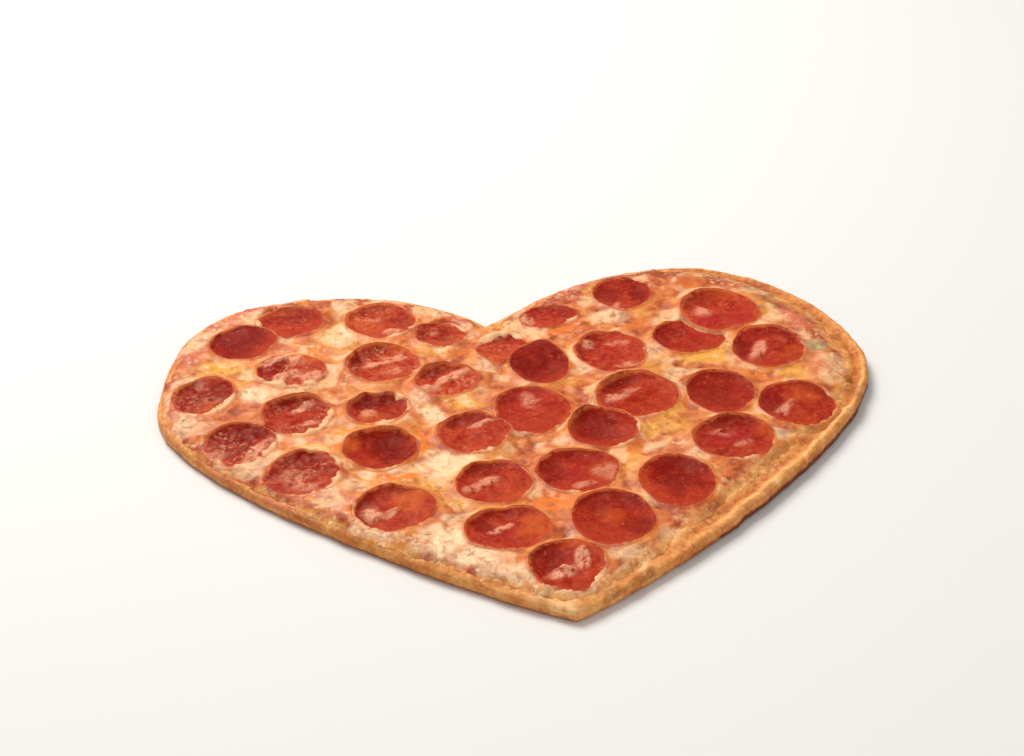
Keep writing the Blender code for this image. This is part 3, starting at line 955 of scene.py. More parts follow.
@dataclass(frozen=True)
class PepperoniFinish:
    """Baked pepperoni: red, with painted shade in the hollows and on the cups' back walls, painted light on
    their front walls and on the raised side of the crisp rim, amber and rose parts, fat specks, and pale
    folds of fat that also carry painted highlights.

    Attributes:
        tone: From -1, very dark, to 1, light.
    """

    tone: float
    tones: tuple[tuple[float, Colour], ...] = (
        (0.0, linear(124, 14, 5)),
        (0.25, linear(146, 24, 9)),
        (0.5, linear(166, 39, 17)),
        (0.75, linear(187, 66, 34)),
        (1.0, linear(212, 106, 68)),
    )
    stains: Stains = (
        # Painted light on the cups' front walls, and the lighter grit lumps
        (Tint.PAINTED_LIGHT_AND_GRIT, linear(192, 68, 38), 0.7),
        (Tint.AMBER, linear(204, 88, 34), 0.9),
        (Tint.ROSE, linear(170, 26, 30), 0.85),
        # Painted shade in the hollows and on the cups' back walls
        (Tint.PAINTED_SHADE, linear(116, 12, 4), 0.9),
    )
    # Colour of the fat specks and of the pale folds, where it also stands for painted highlights
    fat_and_highlight_colour: Colour = linear(241, 168, 132)
    crisp_and_lit_rim: Colour = linear(212, 104, 54)
    crumbs: tuple[Colour, Colour] = (linear(136, 30, 14), linear(226, 150, 110))

    def material(self, name: str) -> bpy.types.Material:
        """Return the slice's material under a name.

        Args:
            name: The material's name.

        Returns:
            The material.
        """
        book = ShaderBook(name)
        ground = book.times(book.mottle(0.28, 0.72, 6.0, 3.0, 0.55, 0.7), 0.36)
        fine = book.mottle(0.28, 0.72, 1.2, 4.0, 0.65)
        ground = book.plus(ground, book.times(fine, 0.34))
        colour = book.ramp(book.plus(ground, 0.12 + 0.16 * self.tone, True), self.tones)
        patchy = book.mottle(0.34, 0.58, 3.4, 3.0, 0.6, 0.5)
        colour = book.stains(colour, patchy, 0.5, self.stains)
        specks = book.mottle(0.64, 0.74, 1.5, 2.0, 0.5, 0.4)
        colour = book.blend(book.times(specks, 0.2), colour, self.fat_and_highlight_colour)
        # The crisp rim, stronger on the raised side of the cup as painted light
        rim = book.times(book.attribute("rim"), book.mottle(0.3, 0.55, 3.0))
        colour = book.blend(book.times(rim, 0.75), colour, self.crisp_and_lit_rim)
        broken = book.spread(book.noise(1.3, 3.0, 0.6, 0.3), 0.36, 0.6, 0.6, 1.0)
        broken = book.times(broken, book.mottle(0.28, 0.5, 3.6, 2.0, 0.5, 0.3))
        # Pale folds of fat, which also carry painted highlights
        pale = book.times(book.attribute(Tint.PALE.value), broken)
        colour = book.blend(book.times(pale, 0.95), colour, self.fat_and_highlight_colour)
        colour, high = book.lumps(colour, book.attribute(Tint.CRUMB.value), 1.7, self.crumbs)
        book.bump(book.plus(book.noise(0.8, 4.0, 0.6), high), 0.2, 0.6)
        roughness = book.spread(book.noise(2.5, 3.0), 0.3, 0.7, 0.3, 0.5)
        return book.finish(colour, roughness, specular_ior_level=0.08, specular_tint=(1.0, 0.62, 0.45, 1.0),
                           subsurface_weight=0.05, subsurface_scale=0.002)


@dataclass(frozen=True)
class FloorFinish:
    """A plain pale floor."""

    colour: Colour = (0.80, 0.79, 0.77)

    def material(self) -> bpy.types.Material:
        """Return the floor's material.

        Returns:
            The material.
        """
        book = ShaderBook("pale_floor")
        shade = book.spread(book.noise(400.0, 1.0), 0.2, 0.8, 0.99, 1.0)
        return book.finish(book.blend(1.0, self.colour, shade, "MULTIPLY"), 0.85)


def grow(form: bmesh.types.BMesh, loop: list[bmesh.types.BMEdge]) -> tuple[list, list]:
    """Extrude a loop of edges in place.

    Args:
        form: The form that it belongs to.
        loop: Its edges.

    Returns:
        The points and the edges of the new loop, which is still to be moved.
    """
    grown = bmesh.ops.extrude_edge_only(form, edges=loop)["geom"]
    points = {item for item in grown if isinstance(item, bmesh.types.BMVert)}
    edges = [item for item in grown if isinstance(item, bmesh.types.BMEdge) and points.issuperset(item.verts)]
    return list(points), edges


def flat_disc(rays: int, rings: int) -> bmesh.types.BMesh:
    """Make a flat disc of radius 1.

    Args:
        rays: How many points it has round.
        rings: How many even rings it has from the rim to the middle point.

    Returns:
        The disc, at height 0.
    """
    form = bmesh.new()
    bmesh.ops.create_circle(form, segments=rays, radius=1.0)
    loop = form.edges[:]
    for ring in range(1, rings + 1):
        points, loop = grow(form, loop)
        inward = Vector((1.0, 1.0, 0.0)) * (rings - ring) / (rings - ring + 1.0)
        bmesh.ops.scale(form, vec=inward, verts=points)
    bmesh.ops.remove_doubles(form, verts=form.verts[:], dist=SAME_PLACE)
    return form


def walled(form: bmesh.types.BMesh, levels: int) -> bmesh.types.BMesh:
    """Close a flat sheet downwards.

    Args:
        form: The sheet.
        levels: How many steps of 1 its wall goes down.

    Returns:
        The sheet with its wall and a flat floor.
    """
    loop = [edge for edge in form.edges if edge.is_boundary]
    for _ in range(levels):
        points, loop = grow(form, loop)
        bmesh.ops.translate(form, vec=(0.0, 0.0, -1.0), verts=points)
    bmesh.ops.holes_fill(form, edges=loop, sides=0)
    bmesh.ops.recalc_face_normals(form, faces=form.faces[:])
    return form


def thick_disc(rays: int, rings: int) -> bmesh.types.BMesh:
    """Make a closed disc with the same rings on both faces.

    Args:
        rays: How many points it has round.
        rings: How many rings each face has.

    Returns:
        A disc of radius 1 with its upper face 1 above its lower.
    """
    form = flat_disc(rays, rings)
    raised = bmesh.ops.extrude_face_region(form, geom=form.faces[:], use_keep_orig=True)["geom"]
    upper = [item for item in raised if isinstance(item, bmesh.types.BMVert)]
    bmesh.ops.translate(form, vec=(0.0, 0.0, 1.0), verts=upper)
    bmesh.ops.recalc_face_normals(form, faces=form.faces[:])
    return form


def square_slab(steps: int) -> bmesh.types.BMesh:
    """Make a closed square slab.

    Args:
        steps: Steps of the even grid on top, along each side.

    Returns:
        A slab from -1 to 1 with its top at height 0 and its foot 1 below.
    """
    form = bmesh.new()
    bmesh.ops.create_grid(form, x_segments=steps, y_segments=steps, size=1.0)
    return walled(form, 1)


@dataclass
class Piece:
    """A mesh of the pizza on its way from a bmesh to a dressed object.

    Attributes:
        name: The object's name.
        mesh: Its mesh.
    """

    name: str
    mesh: bpy.types.Mesh = field(init=False)

    def take(self, form: bmesh.types.BMesh) -> Array:
        """Turn a bmesh into this piece's mesh and return its points' places.

        Args:
            form: The bmesh, which is freed.

        Returns:
            An array of rows of x, y and z.
        """
        self.mesh = bpy.data.meshes.new(self.name)
        form.to_mesh(self.mesh)
        form.free()
        flat = np.empty(len(self.mesh.vertices) * 3, np.float32)
        self.mesh.vertices.foreach_get("co", flat)
        return flat.reshape(-1, 3).astype(float)

    def shape(self, places: Array) -> None:
        """Move the mesh's points to places in millimetres."""
        self.mesh.vertices.foreach_set("co", (places * MM).astype(np.float32).ravel())
        self.mesh.update()

    def paint(self, name: str, values: Array) -> None:
        """Write a number on each point for the material to read."""
        layer = self.mesh.attributes.new(name, "FLOAT", "POINT")
        layer.data.foreach_set("value", np.clip(values, -1.0, 1.0).astype(np.float32))

    def paint_all(self, numbers: dict[str, Array]) -> None:
        """Write several numbers on each point."""
        for name, values in numbers.items():
            self.paint(name, values)

    def dress(self, material: bpy.types.Material, slot: Slot, *nodes: str) -> bpy.types.Object:
        """Make the object, give it its material and let it stand for some CAD nodes.

        Args:
            material: The finish.
            slot: The record's slot for it; not used.
            nodes: The CAD nodes that it replaces.

        Returns:
            The object, riding on the pizza's body.
        """
        self.mesh.shade_smooth()
        self.mesh.materials.append(material)
        item = bpy.data.objects.new(self.name, self.mesh)
        bpy.context.scene.collection.objects.link(item)
        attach(item, BODY)
        if nodes:
            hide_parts(*nodes)
        LOG.info("%s: %d faces", self.name, len(self.mesh.polygons))
        return item


@lru_cache(maxsize=None)
def droop(number: int) -> tuple[float, float]:
    """Return how far a slice droops at the pizza's edge, and the direction of that edge on the plan.

    Args:
        number: The slice's number, from 1.

    Returns:
        The droop in millimetres and the direction in radians.
    """
    plan = SLICES[number - 1]
    gaps = Heart().points(480) - (plan.x, plan.y)
    away = np.hypot(gaps[:, 0], gaps[:, 1])
    nearness = bell(away - away.min(), 6.0)
    toward = (gaps * (nearness / away)[:, None]).sum(0)
    return 1.9 * float(ease(34.0, 21.0, away.min())), math.atan2(toward[1], toward[0])


@dataclass
class SliceShape:
    """The curled form of one slice, read at any place on the plan.

    Attributes:
        number: The slice's number, from 1.
    """

    number: int
    bed: float = 8.0
    thickness: float = 1.35
    stack_rise: float = 1.7
    strength: float = 1.2
    plan: Slice = field(init=False)
    grain: Grain = field(init=False)

    def __post_init__(self) -> None:
        """Look the slice up in the plan."""
        self.plan = SLICES[self.number - 1]
        self.grain = Grain(100 + self.number)

    def polar(self, x: Array, y: Array) -> tuple[Array, Array]:
        """Return how far out each place lies, 1 being the edge, and its direction."""
        angle = np.arctan2(y - self.plan.y, x - self.plan.x)
        return np.hypot(x - self.plan.x, y - self.plan.y) / self.reach(angle), angle

    def reach(self, angle: Array) -> Array:
        """Return how far the slice reaches in each direction.

        Args:
            angle: Directions from its middle.

        Returns:
            The distance to its edge in each.
        """
        across, along = self.plan.wide / 2.0, self.plan.deep / 2.0
        oval = across * along / np.hypot(along * np.cos(angle), across * np.sin(angle))
        wobble = np.sin(3.0 * angle + self.plan.x) + 0.7 * np.sin(5.0 * angle + self.plan.y)
        nicks = self.grain.around(angle, 9.0, 3.0, 3)
        return oval * (1.0 + 0.02 * wobble + (0.024 + 0.03 * self.plan.grit) * nicks)

    def lift(self, x: Array, y: Array) -> Array:
        """Return how far the slice is tilted up by a neighbour that it lies on.

        Args:
            x: Places across.
            y: Places along.

        Returns:
            The rise at each place.
        """
        rise = np.zeros(np.shape(x))
        for upper, lower in STACKED:
            if upper == self.number:
                below = SliceShape(lower).plan
                away = np.array((below.x - self.plan.x, below.y - self.plan.y))
                away = away / np.hypot(*away)
                toward = ((x - self.plan.x) * away[0] + (y - self.plan.y) * away[1]) / (self.plan.wide / 2.0)
                rise = rise + self.stack_rise * ease(-0.5, 0.75, toward)
        return rise

    def curl(self, x: Array, y: Array) -> Array:
        """Return how far the slice curls up at each place.

        Args:
            x: Places across.
            y: Places along.

        Returns:
            The rise at each place.
        """
        out, angle = self.polar(x, y)
        out = np.minimum(out, 1.0)
        lean = 0.65 + 0.35 * np.cos(angle - math.radians(self.plan.lean))
        waver = 1.0 + 0.35 * self.grain.value(2.0 * np.cos(angle), 2.0 * np.sin(angle), 1.0)
        rise = self.strength * self.plan.cup * out ** 3.2 * lean * waver
        for upper, lower in STACKED:
            if lower == self.number:
                rise = rise * ease(1.0, 1.7, SliceShape(upper).polar(x, y)[0])
            if upper == self.number:
                rise = rise * ease(0.9, 1.5, SliceShape(lower).polar(x, y)[0])
        depth, heading = droop(self.number)
        return rise * (1.0 - 0.3 * depth * ease(-0.4, 0.8, out * np.cos(angle - heading)))

    def sag(self, x: Array, y: Array) -> Array:
        """Return how far the slice hangs down towards the pizza's edge.

        Args:
            x: Places across.
            y: Places along.

        Returns:
            The drop at each place.
        """
        depth, heading = droop(self.number)
        toward = (x - self.plan.x) * math.cos(heading) + (y - self.plan.y) * math.sin(heading)
        return depth * ease(-0.8, 1.3, toward / (self.plan.wide / 2.0))

    def ridge(self, x: Array, y: Array) -> Array:
        """Return the height of the fold across the slice as a share of its full height.

        Args:
            x: Places across.
            y: Places along.

        Returns:
            The share at each place.
        """
        out, angle = self.polar(x, y)
        across = out * np.sin(angle - math.radians(self.plan.turn))
        waver = 0.22 * self.grain.value(x, y, 7.0)
        crest = bell(across + waver, 0.26)
        second = 0.6 * bell(across + 0.5 + 0.2 * self.grain.value(x, y, 5.0), 0.2)
        return (crest + second) * ease(1.0, 0.6, out)

    def underside(self, x: Array, y: Array) -> Array:
        """Return the height of the slice's lower face."""
        flat = self.bed - self.sag(x, y) + self.lift(x, y)
        return flat + self.curl(x, y) + 0.8 * self.plan.fold * self.ridge(x, y)

    def tint(self, kind: Tint, x: Array, y: Array) -> Array:
        """Return how strongly one kind of patch colours the slice."""
        return tinted(kind, x, y, self.grain)

    def upper(self, x: Array, y: Array) -> Array:
        """Return the height of the slice's upper face.

        Args:
            x: Places across.
            y: Places along.

        Returns:
            The height at each place.
        """
        out, _ = self.polar(x, y)
        wrinkles = 0.3 * self.grain.fractal(x, y, 7.0, 3) + 0.12 * self.grain.fractal(x, y, 1.9, 2)
        crinkles = 0.5 * self.grain.fractal(x + 60.0, y, 4.4, 2) + 0.3 * self.lumps(x, y)
        relief = wrinkles + self.plan.grit * crinkles
        bead = 0.22 * bell(out - 0.94, 0.05)
        fatty = 1.2 * self.tint(Tint.PALE, x, y) * (0.5 + self.grain.fractal(x, y, 3.6, 2))
        hollow = -0.9 * self.tint(Tint.PAINTED_SHADE, x, y)
        relief = (relief + fatty + hollow) * ease(1.02, 0.86, out)
        return self.underside(x, y) + self.thickness + relief + bead

    def lumps(self, x: Array, y: Array) -> Array:
        """Return small round lumps from 0 to 1 over the slice's face."""
        away, own = self.grain.cells(x, y, 2.6)
        return np.where(own > 0.3, dome(away, 0.6), 0.0)

    def lap(self, angle: Array) -> Array:
        """Return how far the cheese laps over the edge in each direction.

        Args:
            angle: Directions from the slice's middle.

        Returns:
            The lap in each.
        """
        toward = np.cos(angle - math.radians(self.plan.lap_at))
        waver = self.grain.around(angle, 3.0, 1.4, 3, 30.0)
        nibble = self.grain.around(angle, 8.0, 1.0, 2, 60.0)
        front = ease(0.2, 0.9, np.cos(angle + 1.35))
        wanted = 0.7 * self.plan.lap * (0.5 + 0.5 * toward) ** 2 * (0.6 + waver)
        wanted = wanted + (0.45 + 0.5 * self.plan.grit) * waver + (0.2 + 0.6 * front) * nibble
        return np.maximum(0.3, wanted)


@dataclass
class PepperoniSlices:
    """The cupped slices, each a closed mesh of its own."""

    rays: int = 84
    rings: int = 20

    def build_one(self, number: int) -> bpy.types.Object:
        """Model and dress one slice.

        Args:
            number: The slice's number, from 1.

        Returns:
            The slice's object.
        """
        form = SliceShape(number)
        piece = Piece(f"slice_{number:02d}")
        unit = piece.take(thick_disc(self.rays, self.rings))
        top = unit[:, 2] > 0.5
        angle = np.arctan2(unit[:, 1], unit[:, 0])
        out = 1.0 - np.clip(1.0 - np.hypot(unit[:, 0], unit[:, 1]), 0.0, 1.0) ** 1.35
        reach = form.reach(angle) * out
        x = form.plan.x + reach * np.cos(angle)
        y = form.plan.y + reach * np.sin(angle)
        lower = form.underside(x, y)
        upper = form.upper(x, y)
        rounding = np.sqrt(np.clip(1.0 - (np.clip(out - 0.93, 0.0, 0.07) / 0.07) ** 2 * 0.75, 0.0, 1.0))
        middle = (lower + upper) / 2.0
        half = (upper - lower) / 2.0 * rounding
        piece.shape(np.column_stack([x, y, np.where(top, middle + half, middle - half)]))
        back = out * np.cos(angle - math.radians(form.plan.lean))
        front = out * np.cos(angle - math.radians(form.plan.lean) - math.pi)
        lumps = form.plan.grit * form.lumps(x, y)
        # Painted shade on the back wall of the cup, where it curls highest
        back_wall_shade = 0.7 * ease(0.3, 0.85, back + 0.2 * form.grain.fractal(x, y, 6.0, 2))
        # Painted light on the front wall of the cup; the grit lumps are added to it below
        front_wall_light = 0.6 * ease(-0.1, 0.7, front + 0.3 * form.grain.fractal(x + 20.0, y, 6.0, 2))
        stains = {
            Tint.PALE: 0.15 * lumps,
            Tint.PAINTED_SHADE: back_wall_shade,
            Tint.AMBER: np.zeros(len(x)),
            Tint.ROSE: np.zeros(len(x)),
            Tint.PAINTED_LIGHT_AND_GRIT: front_wall_light + 0.3 * lumps,
        }
        for tint, share in stains.items():
            piece.paint(tint.value, np.maximum(share, form.tint(tint, x, y)))
        grainy = ease(0.3, 1.0, form.plan.grit) * ease(-0.2, 0.5, form.grain.fractal(x - 40.0, y, 9.0, 2))
        piece.paint(Tint.CRUMB.value, grainy * ease(1.0, 0.8, out))
        wide = 0.92 - 0.05 * ease(1.4, 3.0, form.plan.cup)
        # Painted light: the rim shows most on the raised side of the cup
        lit = 0.3 + 0.7 * ease(-0.2, 0.9, np.cos(angle - math.radians(form.plan.lean)))
        wavering = out + 0.03 * form.grain.fractal(x, y, 4.0, 2)
        piece.paint("rim", ease(wide - 0.03, wide + 0.05, wavering) * lit)
        name = f"pepperoni_{number:02d}"
        return piece.dress(PepperoniFinish(form.plan.tone).material(name), Slot.PEPPERONI, name)

    def build(self) -> list[bpy.types.Object]:
        """Model and dress every slice."""
        return [self.build_one(number) for number in range(1, len(SLICES) + 1)]


@dataclass
class Crust:
    """The baked base with its rolled rim, its cut edge and its flat underside.

    Attributes:
        heart: The outline.
        height: Height of the flat crust.
        rays: Points round the outline.
        fine_rings: Rings over the bare crust.
    """

    heart: Heart
    height: float = 6.0
    shoulder: float = 1.5
    edge_radius: float = 2.0
    belly: float = 1.8
    undercut: float = 1.6
    rim_rise: float = 1.4
    tuck: float = 5.0
    rays: int = 960
    fine_rings: int = 34
    levels: int = 12
    grain: Grain = Grain(7)
    profile: Stops = ((0.0, 0.0), (0.04, 0.5), (0.14, 1.0), (0.24, 0.8), (0.38, -0.35), (0.46, -0.35),
                      (0.7, 0.3), (0.96, 0.0), (1.4, 0.0))

    def build(self) -> bpy.types.Object:
        """Model and dress the crust.

        Returns:
            The crust's object.
        """
        piece = Piece("baked_crust")
        rings = self.fine_rings + 3
        disc = flat_disc(self.rays, rings)
        unit = piece.take(walled(disc, self.levels))
        ray = np.round(np.arctan2(unit[:, 1], unit[:, 0]) / math.tau * self.rays).astype(int) % self.rays
        ring = np.round((1.0 - np.hypot(unit[:, 0], unit[:, 1])) * rings).astype(int)
        level = np.round(-unit[:, 2]).astype(int)
        outline = self.heart.points(self.rays)
        around = np.arange(self.rays) / self.rays
        bare = along_stops(BARE_CRUST, around)
        strength = along_stops(RIM_STRENGTH, around)
        places = np.zeros((len(unit), 3))
        depth = np.zeros(len(unit))
        for step in range(rings + 1):
            here = (ring == step) & (level == 0)
            share = min(step / self.fine_rings, 1.0) ** 1.25
            inset = share * (bare + self.tuck)
            plan = self.heart.inward(outline, inset)
            if step > self.fine_rings:
                closer = (rings - step) / (rings - self.fine_rings)
                plan = np.array(self.heart.middle) + (plan - np.array(self.heart.middle)) * closer
            places[here, :2] = plan[ray[here]] if step < rings else self.heart.middle
            places[here, 2] = self.rise(inset, bare, strength)[ray[here]]
            depth[here] = inset[ray[here]]
        for step in range(1, self.levels + 1):
            here = level == step
            down = step / self.levels
            start = self.rise(np.zeros(self.rays), bare, strength)
            height = start * (1.0 - down)
            tuck_in = self.undercut * ease(self.belly, 0.0, height)
            plan = self.heart.inward(outline, tuck_in)
            places[here, :2] = plan[ray[here]]
            places[here, 2] = height[ray[here]]
        outward = self.heart.outward(outline)[ray]
        self.roughen(places, depth, ray, level, outward)
        piece.shape(places)
        self.paint(piece, places, depth, bare[ray], strength[ray], level)
        return piece.dress(CrustFinish().material(), Slot.CRUST, "crust")

    def rise(self, inset: Array, bare: Array, strength: Array) -> Array:
        """Return the height of the upper face at a depth inside the edge.

        Args:
            inset: Depth inside the edge.
            bare: Width of the bare crust there.
            strength: Strength of the rolled rim there.

        Returns:
            The height above the table.
        """
        share = inset / bare
        roll = self.rim_rise * strength * along_stops(self.profile, share)
        radius = self.edge_radius * (1.0 - 0.5 * strength)
        rounding = np.sqrt(1.0 - (1.0 - np.clip(inset / radius, 0.0, 1.0)) ** 2)
        return self.height - self.shoulder * (1.0 - strength / 2.0) * (1.0 - rounding) + roll

    def roughen(self, places: Array, depth: Array, ray: Array, level: Array, outward: Array) -> None:
        """Add the oven's bubbles, pits and ragged edge to the points in place.

        Args:
            places: The crust's points, which are moved.
            depth: Depth of each inside the edge.
            ray: Number of each round the outline.
            level: Step down the wall of each, 0 on top.
            outward: Direction out of the outline at each.
        """
        x, y, z = places.T
        bubble, own = self.grain.cells(x, y, 6.5)
        domes = np.where(own > 0.45, 0.75 * dome(bubble, 0.55), 0.0)
        coarse = 0.3 * self.grain.fractal(x, y, 9.0, 3)
        fine = 0.16 * self.grain.fractal(x, y, 2.4, 3)
        open_crust = ease(0.4, 2.5, depth) * (level == 0)
        under_cheese = (level == 0) * ease(0.0, 1.0, depth - 30.0)
        grit, kind = self.grain.cells(x, y, 2.9)
        crumbs = np.where(kind > 0.25, 0.6 * dome(grit, 0.6), 0.0)
        crumbs = crumbs * tinted(Tint.CRUMB, x, y, self.grain)
        places[:, 2] += (domes + coarse + fine + crumbs) * open_crust * (1.0 - under_cheese)
        wall = ease(0.0, 1.6, z) * ease(3.0, 0.5, depth)
        along = ray * ROUND / self.rays
        bulge = 0.35 * self.grain.fractal(along, z * 1.4, 6.0, 3)
        bulge = bulge + 0.18 * self.grain.fractal(along, z * 1.6, 1.7, 2)
        places[:, :2] += outward * (np.minimum(bulge, 0.35) * wall)[:, None]

    def paint(
        self, piece: Piece, places: Array, depth: Array, bare: Array, strength: Array, level: Array
    ) -> None:
        """Write the numbers that the crust's material reads.

        Args:
            piece: The crust.
            places: Its points.
            depth: Depth of each inside the edge.
            bare: Width of the bare crust at each.
            strength: Strength of the rim at each.
            level: Step down the wall of each, 0 on top.
        """
        x, y, z = places.T
        share = depth / bare
        crest = bell(share - 0.18, 0.1) * strength
        groove = bell(share - 0.44, 0.1) * strength
        toast = 0.28 * crest - 0.1 * groove + 0.08 * self.grain.fractal(x, y, 12.0, 3)
        # Painted shade low on the wall, darkest and reaching highest under the rolled rim
        toast = toast - mix(0.14, 0.6, strength) * ease(mix(3.4, 5.2, strength), mix(0.2, 2.6, strength), z)
        toast = toast + 0.06 * ease(4.0, 0.5, depth) * (1.0 - strength) + 0.17 * ease(0.5, 0.65, share)
        toast = toast - 0.1 * ease(50.0, 110.0, x) * ease(20.0, 80.0, y)
        piece.paint("toast", toast)
        for tint in (Tint.ORANGE, Tint.BLUSH, Tint.CREAM, Tint.BROWN, Tint.ASH):
            piece.paint(tint.value, tinted(tint, x, y, self.grain) * (level < 3))
        crumbs = tinted(Tint.CRUMB, x, y, self.grain) * (level == 0) * ease(0.2, 1.6, depth)
        thickly = 0.5 + 0.5 * ease(-0.3, 0.4, self.grain.fractal(x, y, 7.0, 2))
        piece.paint(Tint.CRUMB.value, crumbs * thickly)


@dataclass
class CheeseForm:
    """The height of the melted cheese at any place on the plan.

    Attributes:
        heart: The outline.
        floor: Height of the crust under the cheese.
        depth: The cheese's usual thickness between slices.
        sunk: How far its thin edge dips into the crust.
        lip: How thick it is just inside that edge.
        bank_width: Length of the slope from a slice's edge down to the cheese.
        least_inset: How near the crust's edge the cheese may come.
    """

    heart: Heart
    floor: float = 6.2
    depth: float = 2.9
    sunk: float = 0.5
    lip: float = 0.9
    bank_width: float = 6.0
    least_inset: float = 0.8
    grain: Grain = Grain(21)
    slices: list[SliceShape] = field(default_factory=lambda: [SliceShape(n + 1) for n in range(len(SLICES))])

    def inset(self, around: Array) -> Array:
        """Return how far the cheese's edge lies inside the crust's, at shares of the way round.

        Args:
            around: Shares of the way round from the tip.

        Returns:
            The distance at each.
        """
        along = around * ROUND
        waver = 1.2 * self.grain.fractal(along, 0.0 * along, 9.0, 3)
        waver = waver + 0.6 * self.grain.value(along, around, 2.6)
        return np.maximum(along_stops(CHEESE_EDGE, around) + waver, self.least_inset)

    def inside(self, x: Array, y: Array) -> Array:
        """Return how far inside the cheese's edge each place lies."""
        deep, share = self.heart.depth(x, y)
        return deep - self.inset(share)

    def level(self, x: Array, y: Array, inside: Array) -> Array:
        """Return the cheese's height away from any slice, given the distance inside its own edge.

        Args:
            x: Places across.
            y: Places along.
            inside: Distance inside the cheese's own edge.

        Returns:
            The height at each place.
        """
        lumps = 0.45 * self.grain.fractal(x, y, 17.0, 2) + 0.5 * self.grain.fractal(x, y, 6.5, 3)
        bubble, own = self.grain.cells(x + 2.0 * self.grain.value(x, y, 5.0), y, 6.0)
        domes = np.where(own > 0.5, 0.8 * dome(bubble, 0.6), 0.0)
        strands = 0.3 * (1.0 - np.abs(self.grain.fractal(x * 0.5 + y * 0.3, y - 0.2 * x, 3.2, 2))) ** 3
        fine = 0.15 * self.grain.fractal(x, y, 2.1, 2)
        grit, kind = self.grain.cells(x, y + 5.0, 2.9)
        crumbs = np.where(kind > 0.25, 0.45 * dome(grit, 0.6), 0.0)
        crumbs = crumbs * tinted(Tint.CRUMB, x, y, self.grain) * ease(-1.0, 1.0, inside)
        slope = 7.0 + 5.0 * ease(15.0, 50.0, x)
        thick = -self.sunk + (self.sunk + self.lip) * ease(-1.0, 3.0, inside)
        thick = thick + (self.depth - self.lip) * ease(0.5, slope, inside)
        return self.floor + thick + (lumps + domes + strands + fine) * ease(-1.0, 4.0, inside) + crumbs

    def height(self, x: Array, y: Array, inside: Array) -> tuple[Array, Array]:
        """Return the cheese's height with its banks and its beds for slices.

        Args:
            x: Places across.
            y: Places along.
            inside: Distance inside the cheese's own edge.

        Returns:
            The height at each place, and how near it is to a slice from 0 to 1.
        """
        ground = self.level(x, y, inside)
        banked, bedded = ground.copy(), np.full(len(x), 99.0)
        halo = np.zeros(len(x))
        for form in self.slices:
            near = np.flatnonzero(np.hypot(x - form.plan.x, y - form.plan.y) < 28.0)
            px, py = x[near], y[near]
            out, angle = form.polar(px, py)
            away = (out - 1.0) * form.reach(angle)
            edge = form.underside(px, py) + 0.75 * form.thickness
            wide = self.bank_width * (1.0 + 0.4 * self.grain.value(px, py, 7.0))
            bank = mix(edge, ground[near] - 0.3, ease(0.0, 1.0, away / wide))
            bank = ground[near] + (bank - ground[near]) * ease(-0.5, 2.5, inside[near])
            banked[near] = np.where(away > -0.1, np.maximum(banked[near], bank), banked[near])
            bed = mix(form.underside(px, py) - 0.15, edge, ease(-1.3, -0.1, away))
            bedded[near] = np.where(away < 0.0, np.minimum(bedded[near], bed), bedded[near])
            halo[near] = np.maximum(halo[near], bell(away - 0.6, 1.7))
        return np.maximum(np.minimum(banked, bedded), self.floor - self.sunk), halo

    def look(self, x: Array, y: Array, height: Array, halo: Array) -> dict[str, Array]:
        """Return the numbers that the cheese's material reads.

        Args:
            x: Places across.
            y: Places along.
            height: Height of the cheese at each.
            halo: Nearness of each to a slice.

        Returns:
            The values at each place, by their names on the mesh.
        """
        deep, around = self.heart.depth(x, y)
        inside = deep - self.inset(around)
        thick = height - self.floor
        patches = self.grain.fractal(x + 90.0, y, 13.0, 3)
        spots, own = self.grain.cells(x + 11.0, y - 7.0, 7.0)
        ground = {
            Tint.ORANGE: 0.6 * halo * ease(-0.2, 0.5, self.grain.fractal(x, y + 50.0, 6.0, 2)),
            Tint.YELLOW: 0.5 * ease(0.1, 0.7, self.grain.fractal(x, y - 80.0, 15.0, 3)),
            Tint.CREAM: 0.6 * ease(0.2, 0.6, self.grain.fractal(x + 33.0, y + 61.0, 9.0, 2)),
            Tint.BLUSH: 0.3 * halo * ease(0.0, 0.7, self.grain.fractal(x + 70.0, y, 7.0, 3)),
            Tint.BROWN: np.where(own > 0.55, ease(0.5, 0.15, spots), 0.0) * ease(2.0, 2.8, thick),
            Tint.ASH: 0.0 * x,
            Tint.CRUMB: 0.0 * x,
        }
        found = {
            tint.value: np.maximum(share, tinted(tint, x, y, self.grain)) for tint, share in ground.items()
        }
        found[Tint.CRUMB.value] *= 0.4 + 0.6 * ease(-0.3, 0.4, self.grain.fractal(x, y - 30.0, 7.0, 2))
        browning = 0.07 * ease(24.0, 4.0, inside) + 0.09 * ease(50.0, 110.0, x) * ease(20.0, 80.0, y)
        heaped = np.clip((thick - 3.1) / 0.9, -1.5, 1.5)
        found["tone"] = 0.12 * heaped + 0.12 * patches - 0.08 * halo - browning
        found["toast"] = 0.18 + 0.1 * patches - browning
        wavering = inside + 3.0 * self.grain.fractal(x, y, 4.5, 3)
        found[Tint.BARE.value] = ease(along_stops(BARE_FADE, around), 0.5, wavering)
        return found


